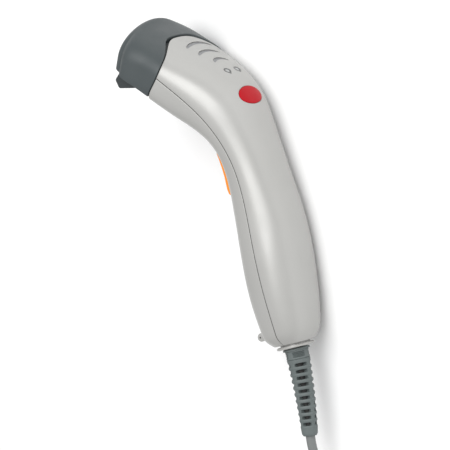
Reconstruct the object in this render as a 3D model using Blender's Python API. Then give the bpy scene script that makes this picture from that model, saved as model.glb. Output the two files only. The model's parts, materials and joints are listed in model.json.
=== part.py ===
"""A hand-held, corded microchip scanner lying on its side, with its lead coiled up beside it.

The body is modelled in the scanner's own frame, in millimetres: x points forward, to the side of the
trigger, y to the left, and z up the handle from the bottom of the base collar. The empty "scanner_pose"
lays that frame down on the floor. The free part of the lead is modelled straight in world coordinates.
"""
import itertools
import math

import bmesh
import bpy
import numpy as np
from mathutils import Matrix, Vector

MM = 0.001
# The six faces of a block whose corners are listed by x, then y, then z.
BLOCK_FACES = ((0, 1, 3, 2), (4, 6, 7, 5), (0, 4, 5, 1), (2, 3, 7, 6), (0, 2, 6, 4), (1, 5, 7, 3))

# How the scanner lies on the floor (degrees).
REST_TILT = 1.9
REST_ROLL = 15.5

# Outer form: stations along the widest line of the housing, from the base to the nose.
# x, z, tilt, half width, back depth, front depth, back exponent, front exponent
STATIONS = (
    (0.2, 1.2, 0, 11.0, 10.3, 10.0, 2.3, 2.3),
    (0.4, 5.0, 0, 14.4, 13.2, 13.4, 2.3, 2.3),
    (0.0, 10.0, 0, 16.2, 14.8, 15.0, 2.3, 2.3),
    (-0.6, 20.0, 0, 18.0, 16.2, 16.2, 2.3, 2.3),
    (-1.2, 34.0, 0, 19.6, 17.6, 16.8, 2.3, 2.3),
    (-2.0, 52.0, 0, 20.2, 18.6, 16.0, 2.3, 2.3),
    (-2.8, 70.0, 0, 19.6, 17.8, 15.0, 2.3, 2.3),
    (-3.0, 86.0, 0, 19.2, 15.8, 13.8, 2.3, 2.3),
    (-1.8, 100.0, 6, 19.6, 15.2, 12.4, 2.3, 2.3),
    (1.0, 113.0, 16, 21.4, 16.4, 11.6, 2.3, 2.4),
    (5.8, 126.0, 27, 24.4, 18.6, 13.2, 2.4, 2.8),
    (14.0, 140.0, 37, 28.0, 17.6, 15.4, 2.5, 3.6),
    (24.1, 153.4, 42, 31.0, 13.8, 15.6, 2.6, 5.0),
    (32.5, 161.5, 48, 31.4, 13.6, 15.6, 2.5, 6.0),
    (40.9, 166.6, 57, 31.7, 15.9, 15.8, 2.36, 6.0),
    (44.0, 168.7, 62, 28.3, 18.0, 15.0, 1.92, 6.0),
)
SEAM_STATION = 12
NOSE_ROUND = 3.8
NOSE_BULGE = 1.5
RING_SIDES = 32
WALL = 2.4
CAP_PROUD = 0.5
GAP = 0.4

# Side-view line where the head cap meets the shells, from above the head down to the rim's back corner.
CAP_LINE = ((22.0, 205.0), (25.4, 180.0), (25.4, 173.9), (24.1, 171.6), (22.2, 168.9), (20.4, 165.6),
            (19.5, 162.0), (20.6, 158.0), (24.1, 153.4), (33.0, 145.2))
CAP_LINE_END = (60.0, 120.3)
# The plane of the reading face: a point on it and its direction towards the nose.
FACE_ANGLE = 48.0
FACE_POINT = (33.1, 145.4)

# Mouth and bezel of the reading face, along the face, across it and outwards from it.
MOUTH = (2.4, 21.2, 27.4)
BEZEL_OUTLINE = ((2.8, -5.0), (20.8, -5.0), (20.8, 0.6), (22.8, 0.9), (23.2, 6.0), (18.5, 8.5),
                 (11.4, 3.1), (6.6, -0.6), (2.8, -0.6))
BEZEL_HALF = 27.0
WINDOW = (4.9, 16.9, 21.3)
WINDOW_TOP = -0.9
WINDOW_THICK = 1.6

# Antenna behind the face.
ANTENNA_CENTRE = 11.8
ANTENNA_STRAIGHT = 14.0

# Boards.
READER_BOARD = (-25.0, 16.0, 18.0)
READER_BOARD_LEVEL = -17.5
BOARD_X = -6.5
BOARD_THICK = 1.6
BOARD_HALF = 10.5
BOARD_ENDS = (9.0, 117.0)
BOARD_FRONT = BOARD_X + BOARD_THICK / 2
BUZZER_Z = 55.9

# Trigger.
PIVOT = (5.5, 112.5)
PIN_RADIUS = 1.0
PIN_HALF = 11.0
TRIGGER_HALF = 8.4
TRIGGER_OUTLINE = ((12.0, 84.8), (12.9, 88.0), (13.0, 94.0), (13.0, 99.0), (13.4, 104.0), (13.9, 107.6),
                   (13.2, 109.7), (8.8, 110.6), (8.2, 113.8), (5.5, 115.6), (2.8, 113.8), (2.6, 110.6),
                   (4.5, 107.0), (4.5, 84.8))
PLUNGER_Z = 92.0
SPRING_Z = 101.5

# Status lights, badge and grips.
LED_ALONG = -20.8
LED_MIDDLE = 2.4
LED_SPACING = 4.7
BADGE_CENTRE = (-11.2, 133.6)
BADGE_TILT = 24.0
BADGE_HALF = (9.6, 5.3)

# Fasteners: height up the handle of the two housing screws.
LOWER_SCREW_Z = 46.0
UPPER_SCREW_Z = 124.0
BOARD_SCREWS_Z = (30.0, 78.0)
HEAD_SCREW_ALONG = -14.0
SCREW_SHANK = 1.2
SCREW_HEAD = 2.5
# For each housing screw: height, foot and top of the rear boss, then foot, top and seat of the front column.
HOUSING_SCREWS = ((LOWER_SCREW_Z, -18.6, 0.3, 0.7, 13.4, 8.0), (UPPER_SCREW_Z, -12.2, 4.3, 4.7, 17.6, 11.0))
REAR_BOSS = 3.4
REAR_BORE = 1.5
FRONT_COLUMN = 4.2
SCREW_CLEARANCE = 1.6
SCREW_WELL = 2.9
BOARD_BOSS = 2.6
BOARD_BORE = 1.3

# Small lug with a hole, low on the front: its centre in side view and its radius.
LUG_CENTRE = (18.9, 7.9)
LUG_RADIUS = 2.3
LUG_HALF = 2.4
LUG_NECK = 1.6
LUG_HOLE = 0.8

# Base collar and strain relief.
COLLAR_LOW = -1.1
COLLAR_HIGH = 0.1
SPIGOT_TOP = 3.0
BOOT_X = 0.2
BOOT_END = -48.2
BOOT_DRIFT = 4.8
BOOT_POWER = 2.4
BOOT_SLOTS = 10
BOOT_FIRST_SLOT = -10.3
BOOT_PITCH = 3.5
BOOT_SLOT_HALF = 0.85
# Turn of the slots about the boot's axis, from the first slot to the last (degrees).
BOOT_TWIST = (-49.0, -69.5)
BOOT_PROFILE = ((-1.5, 7.15), (-2.6, 7.15), (-2.7, 6.35), (-10.4, 6.2), (-28.0, 5.4), (-44.0, 4.4),
                (-47.2, 4.1), (BOOT_END, 3.5))

# Lead: diameter, coil and plug, in world millimetres.
CORD = 5.0
CORD_LIFT = 0.9
COIL_CENTRE = (-29.0, -200.0)
COIL_RADII = (22.0, 37.0)
COIL_HEIGHT = 15.0
LEAD_ROUTE = ((13.7, -116.5, 18.9), (12.6, -124.7, 18.2), (11.3, -134.0, 15.0), (10.0, -144.0, 10.0),
              (8.8, -154.0, 5.6), (7.7, -164.0, 3.2), (6.6, -173.0, 2.9), (5.5, -180.4, 3.4))
TAIL_ROUTE = ((5.5, -219.6, 13.4), (4.7, -228.0, 12.4), (1.2, -236.5, 9.8), (-5.0, -243.4, 6.8),
              (-13.0, -247.8, 4.8), (-22.0, -249.4, 4.3), (-26.0, -249.5, 4.3))
PLUG_PLACE = (-26.0, -249.5, 4.3)
PLUG_TURN = 180.0
TIE_ANGLE = 180.0


# ---------------------------------------------------------------- helpers

def clear_scene():
    for obj in list(bpy.data.objects):
        bpy.data.objects.remove(obj)


def material(name, colour, roughness=0.5, metallic=0.0):
    found = bpy.data.materials.get(name)
    if found:
        return found
    made = bpy.data.materials.new(name)
    made.use_nodes = True
    shader = made.node_tree.nodes["Principled BSDF"]
    shader.inputs["Base Color"].default_value = (*colour, 1.0)
    shader.inputs["Roughness"].default_value = roughness
    shader.inputs["Metallic"].default_value = metallic
    made.diffuse_color = (*colour, 1.0)
    return made


def light_plastic():
    return material("light_plastic", (0.62, 0.61, 0.58), 0.4)


def dark_plastic():
    return material("dark_plastic", (0.12, 0.135, 0.137), 0.5)


def boot_rubber():
    return material("boot_rubber", (0.14, 0.16, 0.16), 0.7)


def steel():
    return material("steel", (0.6, 0.6, 0.6), 0.3, 1.0)


def black_plastic():
    return material("black_plastic", (0.02, 0.02, 0.02), 0.5)


def cord_jacket():
    return material("cord_jacket", (0.25, 0.26, 0.26), 0.6)


def add_object(name, points, faces, skin, parent=None, frame=None, smooth=True):
    """One object from points in millimetres, with its faces turned outwards."""
    mesh = bpy.data.meshes.new(name)
    mesh.from_pydata([tuple(float(c) * MM for c in p) for p in points], [], faces)
    shape = bmesh.new()
    shape.from_mesh(mesh)
    bmesh.ops.recalc_face_normals(shape, faces=shape.faces)
    shape.to_mesh(mesh)
    shape.free()
    if smooth:
        mesh.shade_smooth()
        mesh.set_sharp_from_angle(angle=math.radians(35))
    obj = bpy.data.objects.new(name, mesh)
    bpy.context.scene.collection.objects.link(obj)
    if skin:
        mesh.materials.append(skin)
    obj.parent = parent
    if frame is not None:
        obj.matrix_local = frame
    return obj


def as_cutter(obj):
    obj.hide_render = True
    obj.display_type = "WIRE"
    return obj


def boolean(obj, operation, cutter):
    cut = obj.modifiers.new(operation.lower(), "BOOLEAN")
    cut.operation = operation
    cut.solver = "EXACT"
    cut.object = as_cutter(cutter)


def loft(name, rings, skin=None, parent=None, frame=None, smooth=True):
    """A closed solid through rings that all have the same number of points."""
    sides = len(rings[0])
    points = [p for ring in rings for p in ring]
    faces = []
    for low in range(len(rings) - 1):
        for side in range(sides):
            ahead = (side + 1) % sides
            base, top = low * sides, (low + 1) * sides
            faces.append((base + side, base + ahead, top + ahead, top + side))
    faces.append(tuple(range(sides)))
    last = (len(rings) - 1) * sides
    faces.append(tuple(last + side for side in range(sides)))
    return add_object(name, points, faces, skin, parent, frame, smooth)


def hoop(name, rings, skin=None, parent=None, frame=None):
    """A closed solid like a torus: the last ring joins the first one."""
    sides = len(rings[0])
    points = [p for ring in rings for p in ring]
    faces = []
    for low in range(len(rings)):
        high = (low + 1) % len(rings)
        for side in range(sides):
            ahead = (side + 1) % sides
            base, top = low * sides, high * sides
            faces.append((base + side, base + ahead, top + ahead, top + side))
    return add_object(name, points, faces, skin, parent, frame)


def prism(name, outline, low, high, skin=None, parent=None, frame=None, smooth=False):
    """An outline of (x, y) points drawn up along z."""
    rings = [[(x, y, level) for x, y in outline] for level in (low, high)]
    return loft(name, rings, skin, parent, frame, smooth)


def block(name, low, high, skin=None, parent=None, frame=None, bevel=0.0):
    outline = ((low[0], low[1]), (high[0], low[1]), (high[0], high[1]), (low[0], high[1]))
    obj = prism(name, outline, low[2], high[2], skin, parent, frame)
    if bevel:
        edge = obj.modifiers.new("edges", "BEVEL")
        edge.width = bevel * MM
        edge.segments = 2
    return obj


def turned(name, profile, skin=None, parent=None, frame=None, sides=20):
    """A closed solid turned about z from (radius, z) points, from its lower end to its upper end."""
    rings = []
    for radius, level in profile:
        turn = [2 * math.pi * k / sides for k in range(sides)]
        rings.append([(radius * math.cos(a), radius * math.sin(a), level) for a in turn])
    return loft(name, rings, skin, parent, frame)


def frame_at(x, y, z, rotation=None):
    place = Matrix.Translation(Vector((x, y, z)) * MM)
    return place @ rotation if rotation else place


def along_x(x, y, z):
    """A frame whose z axis points forward, along x."""
    return frame_at(x, y, z, Matrix.Rotation(math.radians(90), 4, "Y"))


def along_y(x, y, z):
    """A frame whose z axis points to the left, along y."""
    return frame_at(x, y, z, Matrix.Rotation(math.radians(-90), 4, "X"))


def face_frame():
    """The reading face: x runs along it to the nose, z points outwards."""
    angle = math.radians(FACE_ANGLE)
    along = Vector((math.cos(angle), 0, math.sin(angle)))
    out = Vector((math.sin(angle), 0, -math.cos(angle)))
    across = out.cross(along)
    turn = Matrix((along, across, out)).transposed().to_4x4()
    return frame_at(FACE_POINT[0], 0, FACE_POINT[1], turn)


def natural_spline(rows, steps):
    """Rows read off a natural cubic spline through the given rows, with steps in each span."""
    rows = np.array(rows, dtype=float)
    spans = np.sqrt(np.linalg.norm(np.diff(rows[:, :2], axis=0), axis=1))
    count = len(rows)
    system = np.zeros((count, count))
    right = np.zeros_like(rows)
    system[0, 0] = system[-1, -1] = 1.0
    for k in range(1, count - 1):
        system[k, k - 1:k + 2] = spans[k - 1], 2 * (spans[k - 1] + spans[k]), spans[k]
        right[k] = 6 * ((rows[k + 1] - rows[k]) / spans[k] - (rows[k] - rows[k - 1]) / spans[k - 1])
    bend = np.linalg.solve(system, right)
    result = []
    for k in range(count - 1):
        width = spans[k]
        for step in range(steps):
            done = step / steps * width
            left = width - done
            cubic = (bend[k] * left ** 3 + bend[k + 1] * done ** 3) / (6 * width)
            start = (rows[k] / width - bend[k] * width / 6) * left
            end = (rows[k + 1] / width - bend[k + 1] * width / 6) * done
            result.append(cubic + start + end)
    result.append(rows[-1])
    return np.array(result)


# ---------------------------------------------------------------- outer form

def station_ring(row, offset, forward=0.0):
    """One cross-section of the form: a superellipse with a deeper or flatter back and front."""
    x, z, tilt, half, back, front, back_power, front_power = row
    tilt = math.radians(tilt)
    ring = []
    for side in range(RING_SIDES):
        angle = 2 * math.pi * side / RING_SIDES
        c, s = math.cos(angle), math.sin(angle)
        power = back_power if s >= 0 else front_power
        depth = (back if s >= 0 else front) + offset
        across = (half + offset) * math.copysign(abs(c) ** (2 / power), c)
        deep = depth * math.copysign(abs(s) ** (2 / power), s)
        ring.append((x - deep * math.cos(tilt) + forward * math.sin(tilt), across,
                     z + deep * math.sin(tilt) + forward * math.cos(tilt)))
    return ring


def form_rings(offset):
    """Cross-sections of the form grown by offset, closed by a rounded, slightly bulging nose."""
    rows = natural_spline(STATIONS, 2)
    rings = [station_ring(row, offset) for row in rows]
    last = rows[-1].copy()
    radius = NOSE_ROUND + offset
    for angle in (25, 50, 75, 90):
        turn = math.radians(angle)
        rings.append(station_ring(last, offset - radius * (1 - math.cos(turn)), radius * math.sin(turn)))
    flat = offset - radius
    for share in (0.6, 0.25):
        row = last.copy()
        row[3:6] = (last[3:6] + flat) * share
        rings.append(station_ring(row, 0.0, radius + NOSE_BULGE * (1 - share * share)))
    return rings


def form(name, offset, skin=None, parent=None, open_base=False):
    rings = form_rings(offset)
    if open_base:
        rings.insert(0, [(x, y, z - 6.0) for x, y, z in rings[0]])
    return loft(name, rings, skin, parent)


def parting_line():
    """Side-view points of the joint between the two shells, from below the base up to the head cap."""
    rows = natural_spline(STATIONS[:SEAM_STATION + 1], 2)
    return [(1.0, -12.0)] + [(row[0], row[1]) for row in rows]


def shifted(line, distance):
    """The same line moved sideways, to its right, by a small distance."""
    moved = []
    for k, (x, z) in enumerate(line):
        before = Vector(line[max(k - 1, 0)])
        after = Vector(line[min(k + 1, len(line) - 1)])
        way = (after - before).normalized()
        moved.append((x + way.y * distance, z - way.x * distance))
    return moved


def side_prism(name, outline, parent, half=60.0):
    """A cutter: a side-view outline of (x, z) points drawn out across the scanner."""
    rings = [[(x, y, z) for x, z in outline] for y in (-half, half)]
    return loft(name, rings, None, parent, smooth=False)


# ---------------------------------------------------------------- housing

def oval(half_x, half_y, sides=28):
    turn = [2 * math.pi * k / sides for k in range(sides)]
    return [(half_x * math.cos(a), half_y * math.sin(a)) for a in turn]


def rounded_box(x_low, x_high, half, corner, steps=4):
    """A rounded rectangle from x_low to x_high and half to each side."""
    outline = []
    centres = ((x_high - corner, half - corner, 0), (x_low + corner, half - corner, 90),
               (x_low + corner, corner - half, 180), (x_high - corner, corner - half, 270))
    for cx, cy, start in centres:
        for step in range(steps + 1):
            angle = math.radians(start + 90 * step / steps)
            outline.append((cx + corner * math.cos(angle), cy + corner * math.sin(angle)))
    return outline


def badge_frame():
    turn = Matrix.Rotation(math.radians(BADGE_TILT - 90), 4, "Y")
    return frame_at(BADGE_CENTRE[0], 0, BADGE_CENTRE[1], turn)


def skin_pocket(name, outline, frame, pose, depth):
    """A cutter that follows an outline and stops at one depth below the form's surface."""
    cutter = prism(name, outline, -8.0, 8.0, None, pose, frame)
    boolean(cutter, "DIFFERENCE", form(name + "_floor", -depth, None, pose))
    return cutter


def led_sides():
    """Each status light's name and its place across the reading face, whose y points to the right."""
    return (("left", LED_MIDDLE - LED_SPACING), ("right", LED_MIDDLE + LED_SPACING))


def rear_shell(pose):
    shell = form("rear_shell", 0.0, light_plastic(), pose)
    seam = shifted(parting_line(), -GAP / 2)
    cap = shifted(CAP_LINE[:-1], GAP / 2)
    outline = seam[:-1] + list(reversed(cap)) + [(-60.0, 205.0), (-60.0, -12.0)]
    boolean(shell, "INTERSECT", side_prism("rear_region", outline, pose))
    boolean(shell, "DIFFERENCE", form("rear_core", -WALL, None, pose, open_base=True))
    for z, foot, top, *_ in HOUSING_SCREWS:
        place = along_x(0, 0, z)
        boss = ((REAR_BOSS, foot), (REAR_BOSS, top))
        boolean(shell, "UNION", turned("rear_boss", boss, None, pose, place))
        bore = ((REAR_BORE, top - 9), (REAR_BORE, top + 1))
        boolean(shell, "DIFFERENCE", turned("rear_bore", bore, None, pose, place))
    for z in BOARD_SCREWS_Z:
        place = along_x(0, 0, z)
        boss = ((BOARD_BOSS, -18.0), (BOARD_BOSS, -7.7))
        boolean(shell, "UNION", turned("board_boss", boss, None, pose, place))
        bore = ((BOARD_BORE, -14.0), (BOARD_BORE, -6.0))
        boolean(shell, "DIFFERENCE", turned("board_bore", bore, None, pose, place))
    head = face_frame()
    post = head @ frame_at(HEAD_SCREW_ALONG, 0, 0)
    boss = ((BOARD_BOSS, -27.0), (BOARD_BOSS, -18.7))
    boolean(shell, "UNION", turned("head_boss", boss, None, pose, post))
    bore = ((BOARD_BORE, -25.5), (BOARD_BORE, -17.0))
    boolean(shell, "DIFFERENCE", turned("head_bore", bore, None, pose, post))
    for _, y in led_sides():
        hole = turned("led_hole", ((1.7, -32.0), (1.7, -20.0)), None, pose, head @ frame_at(LED_ALONG, y, 0))
        boolean(shell, "DIFFERENCE", hole)
    recess = oval(BADGE_HALF[1] + 0.3, BADGE_HALF[0] + 0.3)
    boolean(shell, "DIFFERENCE", skin_pocket("badge_recess", recess, badge_frame(), pose, 1.2))
    return shell


def front_shell(pose):
    shell = form("front_shell", 0.0, light_plastic(), pose)
    seam = shifted(parting_line(), GAP / 2)
    below_cap = shifted([CAP_LINE[-2], CAP_LINE[-1], CAP_LINE_END], GAP / 2)
    outline = seam[:-1] + below_cap + [(60.0, -12.0)]
    boolean(shell, "INTERSECT", side_prism("front_region", outline, pose))
    lug = along_y(LUG_CENTRE[0], 0, LUG_CENTRE[1])
    post = ((LUG_RADIUS, -LUG_HALF), (LUG_RADIUS, LUG_HALF))
    boolean(shell, "UNION", turned("lug_post", post, None, pose, lug))
    neck = block("lug_neck", (LUG_CENTRE[0] - 5, -LUG_HALF, LUG_CENTRE[1] - LUG_NECK),
                 (LUG_CENTRE[0], LUG_HALF, LUG_CENTRE[1] + LUG_NECK), None, pose)
    boolean(shell, "UNION", neck)
    boolean(shell, "DIFFERENCE", form("front_core", -WALL, None, pose, open_base=True))
    hole = along_y(LUG_CENTRE[0] + 0.6, 0, LUG_CENTRE[1])
    bore = ((LUG_HOLE, -4.0), (LUG_HOLE, 4.0))
    boolean(shell, "DIFFERENCE", turned("lug_hole", bore, None, pose, hole, 10))
    for z, *_, foot, top, seat in HOUSING_SCREWS:
        place = along_x(0, 0, z)
        column = ((FRONT_COLUMN, foot), (FRONT_COLUMN, top))
        boolean(shell, "UNION", turned("front_column", column, None, pose, place))
        bore = ((SCREW_CLEARANCE, foot - 2), (SCREW_CLEARANCE, seat), (SCREW_WELL, seat), (SCREW_WELL, 40))
        boolean(shell, "DIFFERENCE", turned("front_bore", bore, None, pose, place))
    for side in (-1, 1):
        cheek = block("pivot_cheek", (2.4, side * 10.2 - 1.0, 109.4), (10.6, side * 10.2 + 1.0, 115.6),
                      None, pose)
        boolean(shell, "UNION", cheek)
    boolean(shell, "DIFFERENCE", turned("pivot_bore", ((1.35, -14), (1.35, 14)), None, pose,
                                        along_y(PIVOT[0], 0, PIVOT[1]), sides=16))
    slot = [(x, -y) for x, y in rounded_box(83.6, 110.6, TRIGGER_HALF + 0.5, 2.0)]
    turn = Matrix(((0, 0, 1), (0, 1, 0), (1, 0, 0))).to_4x4()
    boolean(shell, "DIFFERENCE", prism("trigger_slot", slot, 5.0, 40.0, None, pose, turn))
    return shell


def cap_region(pose):
    angle = math.radians(FACE_ANGLE)
    far = (FACE_POINT[0] + 60 * math.cos(angle), FACE_POINT[1] + 60 * math.sin(angle))
    line = shifted(CAP_LINE, -GAP / 2)
    return side_prism("cap_region", line + [far, (far[0], 205.0)], pose)


def head_cap(pose):
    cap = form("head_cap", CAP_PROUD, dark_plastic(), pose)
    boolean(cap, "INTERSECT", cap_region(pose))
    boolean(cap, "DIFFERENCE", form("cap_core", -WALL, None, pose, open_base=True))
    mouth = rounded_box(MOUTH[0], MOUTH[1], MOUTH[2], 0.8)
    boolean(cap, "DIFFERENCE", prism("mouth", mouth, -7.0, 6.0, None, pose, face_frame()))
    return cap


# ---------------------------------------------------------------- reading face

def face_bezel(pose):
    """The plate in the cap's mouth, with the beak that stands out at the nose."""
    turn = Matrix(((1, 0, 0), (0, 0, -1), (0, 1, 0))).to_4x4()
    bezel = prism("face_bezel", BEZEL_OUTLINE, -BEZEL_HALF, BEZEL_HALF, dark_plastic(), pose,
                  face_frame() @ turn)
    pocket = rounded_box(WINDOW[0] - 0.6, WINDOW[1] + 0.6, WINDOW[2] + 0.6, 2.0)
    opening = rounded_box(WINDOW[0] + 1.4, WINDOW[1] - 1.4, WINDOW[2] - 1.4, 1.2)
    boolean(bezel, "DIFFERENCE", prism("window_pocket", pocket, -3.8, 20.0, None, pose, face_frame()))
    boolean(bezel, "DIFFERENCE", prism("window_opening", opening, -8.0, 20.0, None, pose, face_frame()))
    return bezel


def face_window(pose):
    outline = rounded_box(*WINDOW, 1.6)
    skin = material("window_acrylic", (0.05, 0.03, 0.03), 0.1)
    return prism("face_window", outline, WINDOW_TOP - WINDOW_THICK, WINDOW_TOP, skin, pose, face_frame())


def window_gasket(pose):
    skin = material("gasket_foam", (0.03, 0.03, 0.03), 0.9)
    gasket = prism("window_gasket", rounded_box(*WINDOW, 1.6), -3.5, -2.8, skin, pose, face_frame())
    hole = rounded_box(WINDOW[0] + 1.2, WINDOW[1] - 1.2, WINDOW[2] - 1.2, 1.0)
    boolean(gasket, "DIFFERENCE", prism("gasket_hole", hole, -6.0, 0.0, None, pose, face_frame()))
    return gasket


def stadium(name, profile, skin, pose, steps=8):
    """A closed ring swept round a stadium from (radius, height) points of its section."""
    rings = []
    for end, side in ((0, 1), (180, -1)):
        for step in range(steps + 1):
            angle = math.radians(end + 180 * step / steps)
            rings.append([(ANTENNA_CENTRE + radius * math.cos(angle),
                           side * ANTENNA_STRAIGHT + radius * math.sin(angle), level)
                          for radius, level in profile])
    return hoop(name, rings, skin, pose, face_frame())


def antenna(pose):
    former = ((3.0, -13.5), (8.2, -13.5), (8.2, -12.5), (5.0, -12.5), (5.0, -7.5), (8.2, -7.5), (8.2, -6.5),
              (3.0, -6.5))
    winding = ((5.3, -12.2), (7.8, -12.2), (7.8, -7.8), (5.3, -7.8))
    stadium("antenna_bobbin", former, black_plastic(), pose)
    stadium("antenna_coil", winding, material("copper", (0.72, 0.32, 0.14), 0.35, 1.0), pose)


def wire(name, points, radius, skin, parent=None, frame=None, resolution=2):
    """A round wire or cord along points in millimetres, with filled ends."""
    curve = bpy.data.curves.new(name, "CURVE")
    curve.dimensions = "3D"
    curve.bevel_depth = radius * MM
    curve.bevel_resolution = resolution
    curve.use_fill_caps = True
    line = curve.splines.new("POLY")
    line.points.add(len(points) - 1)
    for point, place in zip(line.points, points):
        point.co = (*(float(c) * MM for c in place), 1.0)
    curve.materials.append(skin)
    obj = bpy.data.objects.new(name, curve)
    bpy.context.scene.collection.objects.link(obj)
    obj.parent = parent
    if frame is not None:
        obj.matrix_local = frame
    return obj


def antenna_leads(pose):
    skin = material("enamel_wire", (0.5, 0.06, 0.03), 0.3)
    for side, name in ((1, "left"), (-1, "right")):
        y = -side * 9.0
        route = natural_spline(((3.1, y, -9.5), (2.4, y, -12.0), (0.6, y, -14.6), (0.2, y, -16.2)), 3)
        wire("antenna_lead_" + name, route, 0.35, skin, pose, face_frame(), 1)


def reader_board(pose):
    head = face_frame()
    green = material("circuit_board", (0.02, 0.16, 0.07), 0.4)
    outline = rounded_box(READER_BOARD[0], READER_BOARD[1], READER_BOARD[2], 4.0)
    low, high = READER_BOARD_LEVEL - 0.7, READER_BOARD_LEVEL + 0.7
    board = prism("reader_board", outline, low, high, green, pose, head)
    boolean(board, "DIFFERENCE", turned("head_board_hole", ((1.5, low - 2), (1.5, high + 2)), None, pose,
                                        head @ frame_at(HEAD_SCREW_ALONG, 0, 0)))
    block("reader_chip", (-8.0, -4.5, high + 0.3), (1.0, 4.5, high + 1.7), black_plastic(), pose, head)
    lamp = material("lamp", (0.9, 0.85, 0.5), 0.3)
    for name, y in led_sides():
        block("status_led_" + name, (LED_ALONG - 1.6, y - 1.6, low - 1.8),
              (LED_ALONG + 1.6, y + 1.6, low - 0.3), lamp, pose, head)
        lens = material("led_lens", (0.3, 0.32, 0.32), 0.15)
        turned("led_lens_" + name, ((1.35, -28.2), (1.35, low - 2.1)), lens, pose,
               head @ frame_at(LED_ALONG, y, 0), sides=16)
    screw("head_board_screw", pose, head @ frame_at(HEAD_SCREW_ALONG, 0, high + 0.3), 6.5)


def screw(name, pose, frame, length, head_radius=2.3, shank=1.0):
    """A pan-head screw: its shank runs down -z from the head, whose underside is at z = 0."""
    profile = ((shank * 0.5, -length), (shank, -length + 1.0), (shank, 0.0), (head_radius, 0.0),
               (head_radius, 0.8), (head_radius * 0.7, 1.5), (0.4, 1.6))
    return turned(name, profile, steel(), pose, frame, sides=16)


# ---------------------------------------------------------------- inside the handle

def strip(name, route, middle, width, thick, skin, pose):
    """A flat cable along a side-view route of (x, z) points."""
    edge = shifted(route, thick / 2)
    other = shifted(route, -thick / 2)
    outline = edge + list(reversed(other))
    rings = [[(x, y, z) for x, z in outline] for y in (middle - width / 2, middle + width / 2)]
    return loft(name, rings, skin, pose, smooth=False)


def board_ribbon(pose):
    route = natural_spline(((7.6, 141.2), (4.4, 137.6), (0.6, 131.0), (-2.4, 124.5), (-4.4, 118.5),
                            (-5.0, 112.5), (-5.0, 108.0)), 3)
    skin = material("ribbon", (0.75, 0.72, 0.6), 0.5)
    strip("board_ribbon", [tuple(p) for p in route], 8.0, 5.6, 0.4, skin, pose)


def main_board(pose):
    skin = material("circuit_board", (0.02, 0.16, 0.07))
    board = block("main_board", (BOARD_X - BOARD_THICK / 2, -BOARD_HALF, BOARD_ENDS[0]),
                  (BOARD_FRONT, BOARD_HALF, BOARD_ENDS[1]), skin, pose)
    holes = [(LOWER_SCREW_Z, 4.0)] + [(z, 1.5) for z in BOARD_SCREWS_Z]
    for z, radius in holes:
        boolean(board, "DIFFERENCE", turned("board_hole", ((radius, -12), (radius, 0)), None, pose,
                                            along_x(0, 0, z)))
    for number, z in enumerate(BOARD_SCREWS_Z, 1):
        screw(f"board_screw_{number}", pose, along_x(BOARD_FRONT + 0.3, 0, z), 6.5)
    front = BOARD_FRONT + 0.3
    block("controller_chip", (front, -5.0, 62.0), (front + 1.6, 5.0, 72.0), black_plastic(), pose)


def buzzer(pose):
    place = along_x(BOARD_FRONT + 0.3, 0, BUZZER_Z)
    body = turned("buzzer", ((5.5, 0.0), (5.5, 4.5)), black_plastic(), pose, place, sides=24)
    mouth = turned("buzzer_mouth", ((1.0, 3.0), (1.0, 6.0)), None, pose, place, sides=12)
    boolean(body, "DIFFERENCE", mouth)


def trigger_switch(pose):
    body = block("trigger_switch", (BOARD_FRONT + 0.3, -4.0, PLUNGER_Z - 4.0), (0.6, 4.0, PLUNGER_Z + 4.0),
                 black_plastic(), pose)
    boolean(body, "DIFFERENCE", turned("plunger_bore", ((1.9, -3.0), (1.9, 2.0)), None, pose,
                                       along_x(0, 0, PLUNGER_Z), sides=16))
    skin = material("plunger", (0.7, 0.1, 0.05), 0.4)
    turned("switch_plunger", ((1.55, 0.0), (1.55, 4.6), (1.1, 5.2)), skin, pose, along_x(-1.0, 0, PLUNGER_Z),
           sides=16)


def trigger(pose):
    """The bar trigger, hung on a cross pin at its upper end; its origin is on the pin."""
    x, z = PIVOT
    outline = [(px - x, pz - z) for px, pz in TRIGGER_OUTLINE]
    turn = Matrix(((1, 0, 0), (0, 0, -1), (0, 1, 0))).to_4x4()
    skin = material("trigger_orange", (0.85, 0.26, 0.03), 0.3)
    bar = prism("trigger", outline, -TRIGGER_HALF, TRIGGER_HALF, skin, pose, frame_at(x, 0, z) @ turn)
    edge = bar.modifiers.new("edges", "BEVEL")
    edge.width = 1.0 * MM
    edge.segments = 2
    edge.limit_method = "ANGLE"
    edge.angle_limit = math.radians(60)
    boolean(bar, "DIFFERENCE", turned("trigger_bore", ((1.35, -14), (1.35, 14)), None, pose,
                                      along_y(x, 0, z), sides=16))
    turned("trigger_pin", ((PIN_RADIUS, -PIN_HALF), (PIN_RADIUS, PIN_HALF)), steel(), pose, along_y(x, 0, z),
           sides=16)


def trigger_spring(pose):
    """A helical compression spring between the board and the back of the trigger."""
    start, end, turns, steps = BOARD_FRONT + 0.8, 3.7, 5, 10
    route = []
    for k in range(turns * steps + 1):
        angle = 2 * math.pi * k / steps
        along = start + (end - start) * k / (turns * steps)
        route.append((along, 2.2 * math.cos(angle), SPRING_Z + 2.2 * math.sin(angle)))
    wire("trigger_spring", route, 0.3, steel(), pose, None, 1)


def cable_socket(pose):
    socket = block("cable_socket", (BOARD_FRONT + 0.3, -7.4, 5.2), (7.4, 7.4, 21.0), black_plastic(), pose)
    boolean(socket, "DIFFERENCE", block("socket_hollow", (-4.0, -6.1, 0.0), (6.0, 6.1, 19.4), None, pose))
    skin = material("clear_plug", (0.55, 0.57, 0.57), 0.2)
    plug = block("cable_plug", (-3.6, -5.7, 3.4), (5.6, 5.7, 18.6), skin, pose)
    neck = turned("plug_neck", ((3.4, COLLAR_LOW), (3.4, 5.0)), None, pose, frame_at(BOOT_X, 0, 0))
    boolean(plug, "UNION", neck)


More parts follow.
